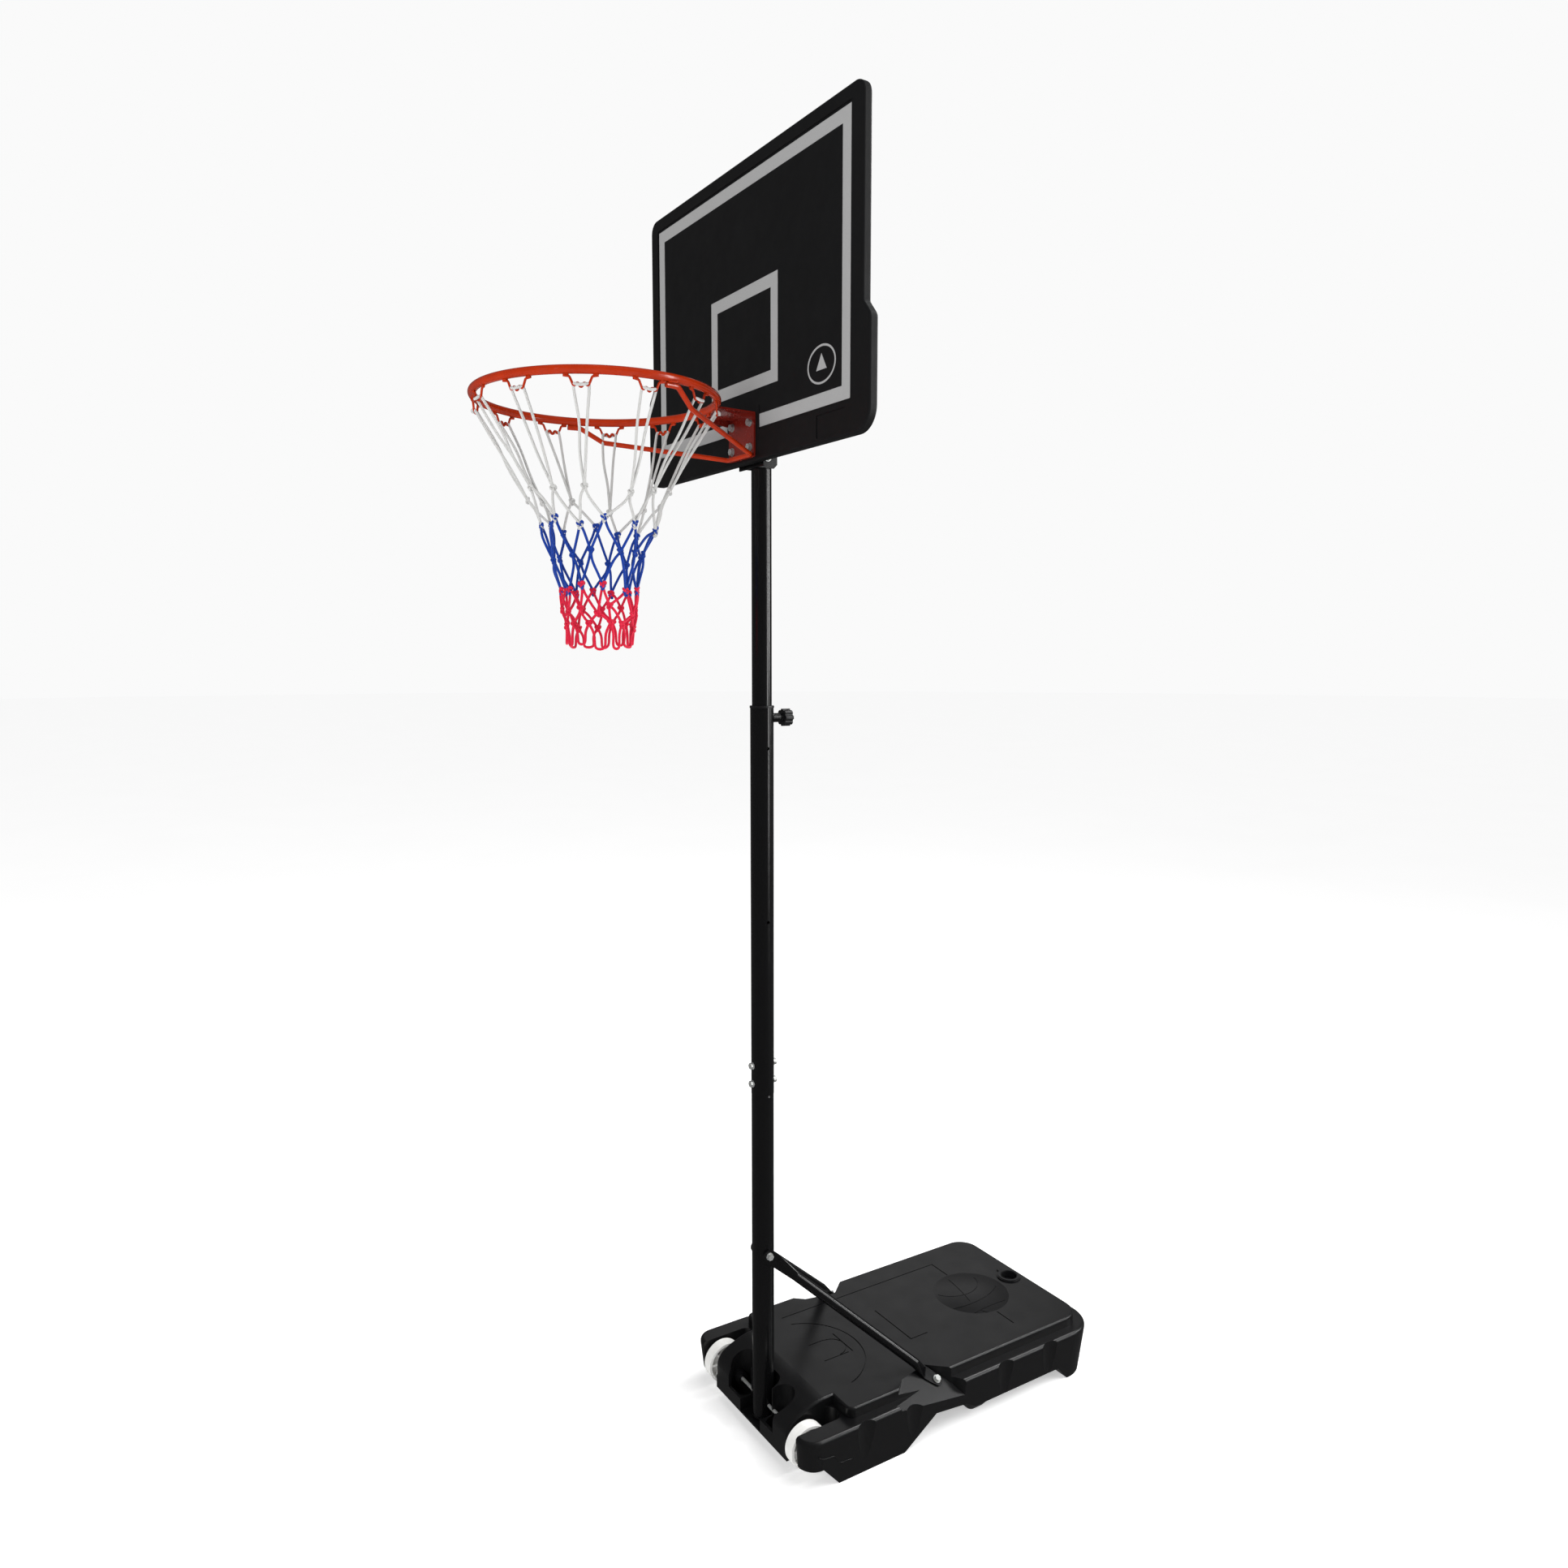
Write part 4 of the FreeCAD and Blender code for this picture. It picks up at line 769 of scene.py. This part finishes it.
class HOOP_OT_raise_seams(bpy.types.Operator):
    """Raise the fine mould seams on the board, the tank and the wheels"""

    bl_idname = "hoop.raise_seams"
    bl_label = "Raise Seams"

    def execute(self, context):
        self.raise_board_seam()
        self.raise_tank_seam()
        for name, body in (("wheel_right", "wheel_r"), ("wheel_left", "wheel_l")):
            self.raise_wheel_seam(name, body)
        return {"FINISHED"}

    def raise_board_seam(self):
        """Line round the board's edge, 1 mm in front of the middle of its thickness."""
        low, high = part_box("backboard")
        middle = (low.y + high.y) / 2 - 1 * MM
        loop = section_loop("backboard", (0, middle, 0), (0, 1, 0))
        tubes = TubeMesh()
        tubes.add(loop[:-1], 0.7 * MM, 6, closed=True)
        tubes.build("board_mould_seam", "board", "mast", "board")

    def raise_tank_seam(self):
        """Line on the tank's side walls where the two mould halves meet, near the nose."""
        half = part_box("base_tank")[1].x
        # The walls lean in by this much per millimetre below the rim.
        lean = 10 / 108
        rim_z = 108
        # Places along the wall, back from the nose and up, in millimetres.
        places = ((-14, 86), (0, 78), (14, 75.5), (26, 74), (33, 68), (40, 55), (50, 50),
                  (62, 49.5), (78, 47))
        tubes = TubeMesh()
        for side in (-1, 1):
            line = [Vector((side * (half - (rim_z - z) * lean * MM), y * MM, z * MM))
                    for y, z in places]
            tubes.add(smooth_path(line, 4), 1.0 * MM, 6)
        tubes.build("tank_mould_seam", "tank", "stand", "tank")

    def raise_wheel_seam(self, name, body):
        """Line round the middle of a wheel's tread."""
        sides = 72
        sunk = 0.998
        low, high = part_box(name)
        centre = (low + high) / 2
        radius = (high.z - low.z) / 2
        circle = []
        for k in range(sides):
            turn = 2 * math.pi * k / sides
            circle.append(Vector((centre.x, centre.y + radius * math.cos(turn) * sunk,
                                  centre.z + radius * math.sin(turn) * sunk)))
        rim = TubeMesh()
        rim.add(circle, 0.45 * MM, 6, closed=True)
        rim.build(name + "_mould_seam", "wheel", body, "wheel")


# ---------------------------------------------------------------- finishes of the CAD nodes
COLOUR = {"subtype": "COLOR", "size": 4, "min": 0, "max": 1}


class HoopColours(bpy.types.PropertyGroup):
    """Colours of the hoop."""

    tube: bpy.props.FloatVectorProperty(
        name="Poles, struts", description="Satin powder coat", default=linear("#080809"), **COLOUR)
    ring: bpy.props.FloatVectorProperty(
        name="Ring", description="Gloss powder coat", default=linear("#B83004"), **COLOUR)
    bracket: bpy.props.FloatVectorProperty(
        name="Bracket", description="Gloss powder coat", default=linear("#7E1E15"), **COLOUR)
    board: bpy.props.FloatVectorProperty(
        name="Board", description="Blow-moulded polyethylene", default=linear("#101011"), **COLOUR)
    tank: bpy.props.FloatVectorProperty(
        name="Tank", description="Blow-moulded polyethylene", default=linear("#0F0F10"), **COLOUR)
    ink: bpy.props.FloatVectorProperty(
        name="Printed lines", description="Screen-printed ink", default=linear("#9E9E9E"), **COLOUR)
    wheel: bpy.props.FloatVectorProperty(
        name="Wheels", description="Moulded plastic", default=linear("#F6F6F4"), **COLOUR)
    cord_top: bpy.props.FloatVectorProperty(
        name="Net top", description="Braided cord", default=linear("#DADAD8"), **COLOUR)
    cord_middle: bpy.props.FloatVectorProperty(
        name="Net middle", description="Braided cord", default=linear("#0740A8"), **COLOUR)
    cord_bottom: bpy.props.FloatVectorProperty(
        name="Net bottom", description="Braided cord", default=linear("#EE1A42"), **COLOUR)


class HOOP_OT_finish_frame(bpy.types.Operator):
    """Give every CAD node the finish of its slot"""

    bl_idname = "hoop.finish_frame"
    bl_label = "Finish Frame"

    def execute(self, context):
        slots = {s["node"]: s["material_slot"] for s in frame["record"]["subparts"]}
        for name, node in frame["nodes"].items():
            if name not in slots:
                raise RuntimeError("no finish is recorded for " + name)
            if not node.material_slots:
                node.data.materials.append(None)
            for place in node.material_slots:
                place.material = material_for(slots[name])
        return {"FINISHED"}


# ---------------------------------------------------------------- stage
FLOOR_RADIUS = 60.0
FLOOR_SIDES = 96
OVERHEAD_WAY = (-0.35, -0.25, -1.0)
OVERHEAD_SPREAD = 50

# Name, place, aim, width, height, watts, and whether glossy parts mirror it.
SOFT_BOXES = (
    ("front_box", (2.4, -5.2, 3.4), (0, -0.1, 1.7), 2.4, 2.4, 190, False),
    ("back_panel", (0.4, 2.9, 4.2), (0.1, 0.2, 0.4), 1.3, 1.3, 80, True),
    ("side_strip", (3.4, 2.9, 2.5), (0, 0.1, 1.4), 0.6, 4.0, 75, True),
    ("rear_strip", (1.9, 4.2, 2.35), (0, 0, 2.0), 0.9, 1.3, 45, True),
    ("left_panel", (-4.0, 3.4, 3.2), (0, 0.5, 0.4), 2.6, 2.0, 9, True),
)

SENSOR_WIDTH_MM = 36.0
LENS_MM = 26.645
CAMERA_PLACE = (2.1440, -1.3069, 1.7732)
CAMERA_DIP = 6.1774
CAMERA_TURN = 57.5437


class HoopStageSettings(bpy.types.PropertyGroup):
    """Floor and light of the stage."""

    floor: bpy.props.FloatVectorProperty(
        name="Floor", description="Pale matt floor", default=linear("#E9E9E9"), **COLOUR)
    sky: bpy.props.FloatProperty(
        name="Fill light", description="Strength of the even light from all around",
        default=0.10, min=0.0)
    sun: bpy.props.FloatProperty(
        name="Overhead light", description="Strength of the broad overhead light",
        default=1.8, min=0.0)
    glow: bpy.props.FloatProperty(
        name="Floor glow", description="Light given off by the floor, so that it stays pale",
        default=0.46, min=0.0)


class HOOP_OT_set_stage(bpy.types.Operator):
    """Set the floor, the lights and the camera"""

    bl_idname = "hoop.set_stage"
    bl_label = "Set Stage"

    def execute(self, context):
        scene = context.scene
        self.lay_floor(scene)
        self.light_room(scene)
        self.hang_overhead(scene)
        for box in SOFT_BOXES:
            self.hang_soft_box(scene, *box)
        self.place_camera(scene)
        scene.view_settings.view_transform = "Standard"
        return {"FINISHED"}

    def lay_floor(self, scene):
        """Round floor, large enough to fade into the background; glossy parts don't mirror it."""
        points = []
        for k in range(FLOOR_SIDES):
            turn = 2 * math.pi * k / FLOOR_SIDES
            points.append((FLOOR_RADIUS * math.cos(turn), FLOOR_RADIUS * math.sin(turn), 0.0))
        mesh = bpy.data.meshes.new("stage_floor")
        mesh.from_pydata(points, [], [tuple(range(len(points)))])
        floor = bpy.data.objects.new("stage_floor", mesh)
        scene.collection.objects.link(floor)
        floor.visible_glossy = False
        # Matt vinyl sheet: pale, even, with only the faintest mottling.
        settings = scene.hoop_stage
        floor.data.materials.append(surface(
            "vinyl_sheet_matt_white", settings.floor, linear("#E4E4E4"), patch_mm=900,
            rough=(0.8, 0.9), grain_mm=3, relief_mm=0.02,
            shader={"Specular IOR Level": 0.1, "Emission Color": linear("#FFFFFF"),
                    "Emission Strength": settings.glow}))

    def light_room(self, scene):
        """Even fill from all around, and a pale background where the camera sees past the floor."""
        world = bpy.data.worlds.new("studio")
        scene.world = world
        world.use_nodes = True
        tree = world.node_tree
        tree.nodes.clear()
        seen = add_node(tree, "ShaderNodeBackground", {"Color": linear("#FAFAFA"), "Strength": 1.0})
        fill = add_node(tree, "ShaderNodeBackground",
                        {"Color": linear("#FFFFFF"), "Strength": scene.hoop_stage.sky})
        rays = add_node(tree, "ShaderNodeLightPath", {})
        both = add_node(tree, "ShaderNodeMixShader", {},
                        {0: rays.outputs["Is Camera Ray"], 1: fill.outputs[0], 2: seen.outputs[0]})
        add_node(tree, "ShaderNodeOutputWorld", {}, {"Surface": both.outputs[0]})

    def hang_overhead(self, scene):
        """Broad light from above, too wide for a clear shadow; glossy parts don't mirror it."""
        data = bpy.data.lights.new("overhead", "SUN")
        data.energy = scene.hoop_stage.sun
        data.angle = math.radians(OVERHEAD_SPREAD)
        overhead = bpy.data.objects.new("overhead", data)
        overhead.rotation_euler = Vector(OVERHEAD_WAY).to_track_quat("-Z", "Y").to_euler()
        overhead.visible_glossy = False
        scene.collection.objects.link(overhead)

    def hang_soft_box(self, scene, name, place, aim, width, height, power, mirrored):
        """Rectangular soft light that the camera doesn't see."""
        data = bpy.data.lights.new(name, "AREA")
        data.shape = "RECTANGLE"
        data.size = width
        data.size_y = height
        data.energy = power
        light = bpy.data.objects.new(name, data)
        light.location = place
        way = Vector(aim) - Vector(place)
        light.rotation_euler = way.to_track_quat("-Z", "Y").to_euler()
        light.visible_camera = False
        light.visible_glossy = mirrored
        scene.collection.objects.link(light)

    def place_camera(self, scene):
        """Camera at standing height beside the hoop, looking slightly down."""
        lens = bpy.data.cameras.new("camera")
        lens.sensor_width = SENSOR_WIDTH_MM
        lens.lens = LENS_MM
        camera = bpy.data.objects.new("camera", lens)
        camera.location = CAMERA_PLACE
        camera.rotation_euler = (math.radians(90 - CAMERA_DIP), 0, math.radians(CAMERA_TURN))
        scene.collection.objects.link(camera)
        scene.camera = camera


# ---------------------------------------------------------------- panel
class HOOP_PT_sidebar(bpy.types.Panel):
    """Lists the hoop's steps and settings."""

    bl_idname = "HOOP_PT_sidebar"
    bl_label = "Basketball Hoop"
    bl_space_type = "VIEW_3D"
    bl_region_type = "UI"
    bl_category = "Hoop"

    def draw(self, context):
        for operator in OPERATORS:
            self.layout.operator(operator.bl_idname)
        scene = context.scene
        for group in (scene.hoop_colours, scene.hoop_net, scene.hoop_stage):
            column = self.layout.column()
            for name in group.bl_rna.properties.keys():
                if name not in ("rna_type", "name"):
                    column.prop(group, name)


OPERATORS = (HOOP_OT_finish_frame, HOOP_OT_hang_net, HOOP_OT_lay_welds, HOOP_OT_cut_threads,
             HOOP_OT_raise_seams, HOOP_OT_set_stage)
GROUPS = (HoopColours, HoopNetSettings, HoopStageSettings)


def register():
    """Registers the classes and gives every scene its settings."""
    for cls in GROUPS + OPERATORS + (HOOP_PT_sidebar,):
        bpy.utils.register_class(cls)
    bpy.types.Scene.hoop_colours = bpy.props.PointerProperty(type=HoopColours)
    bpy.types.Scene.hoop_net = bpy.props.PointerProperty(type=HoopNetSettings)
    bpy.types.Scene.hoop_stage = bpy.props.PointerProperty(type=HoopStageSettings)


def unregister():
    """Takes the settings and the classes away again."""
    del bpy.types.Scene.hoop_stage
    del bpy.types.Scene.hoop_net
    del bpy.types.Scene.hoop_colours
    for cls in reversed(GROUPS + OPERATORS + (HOOP_PT_sidebar,)):
        bpy.utils.unregister_class(cls)


def main():
    """Runs every step in order."""
    register()
    bpy.ops.hoop.finish_frame()
    bpy.ops.hoop.hang_net()
    bpy.ops.hoop.lay_welds()
    bpy.ops.hoop.cut_threads()
    bpy.ops.hoop.raise_seams()
    bpy.ops.hoop.set_stage()


if __name__ == "__main__":
    main()
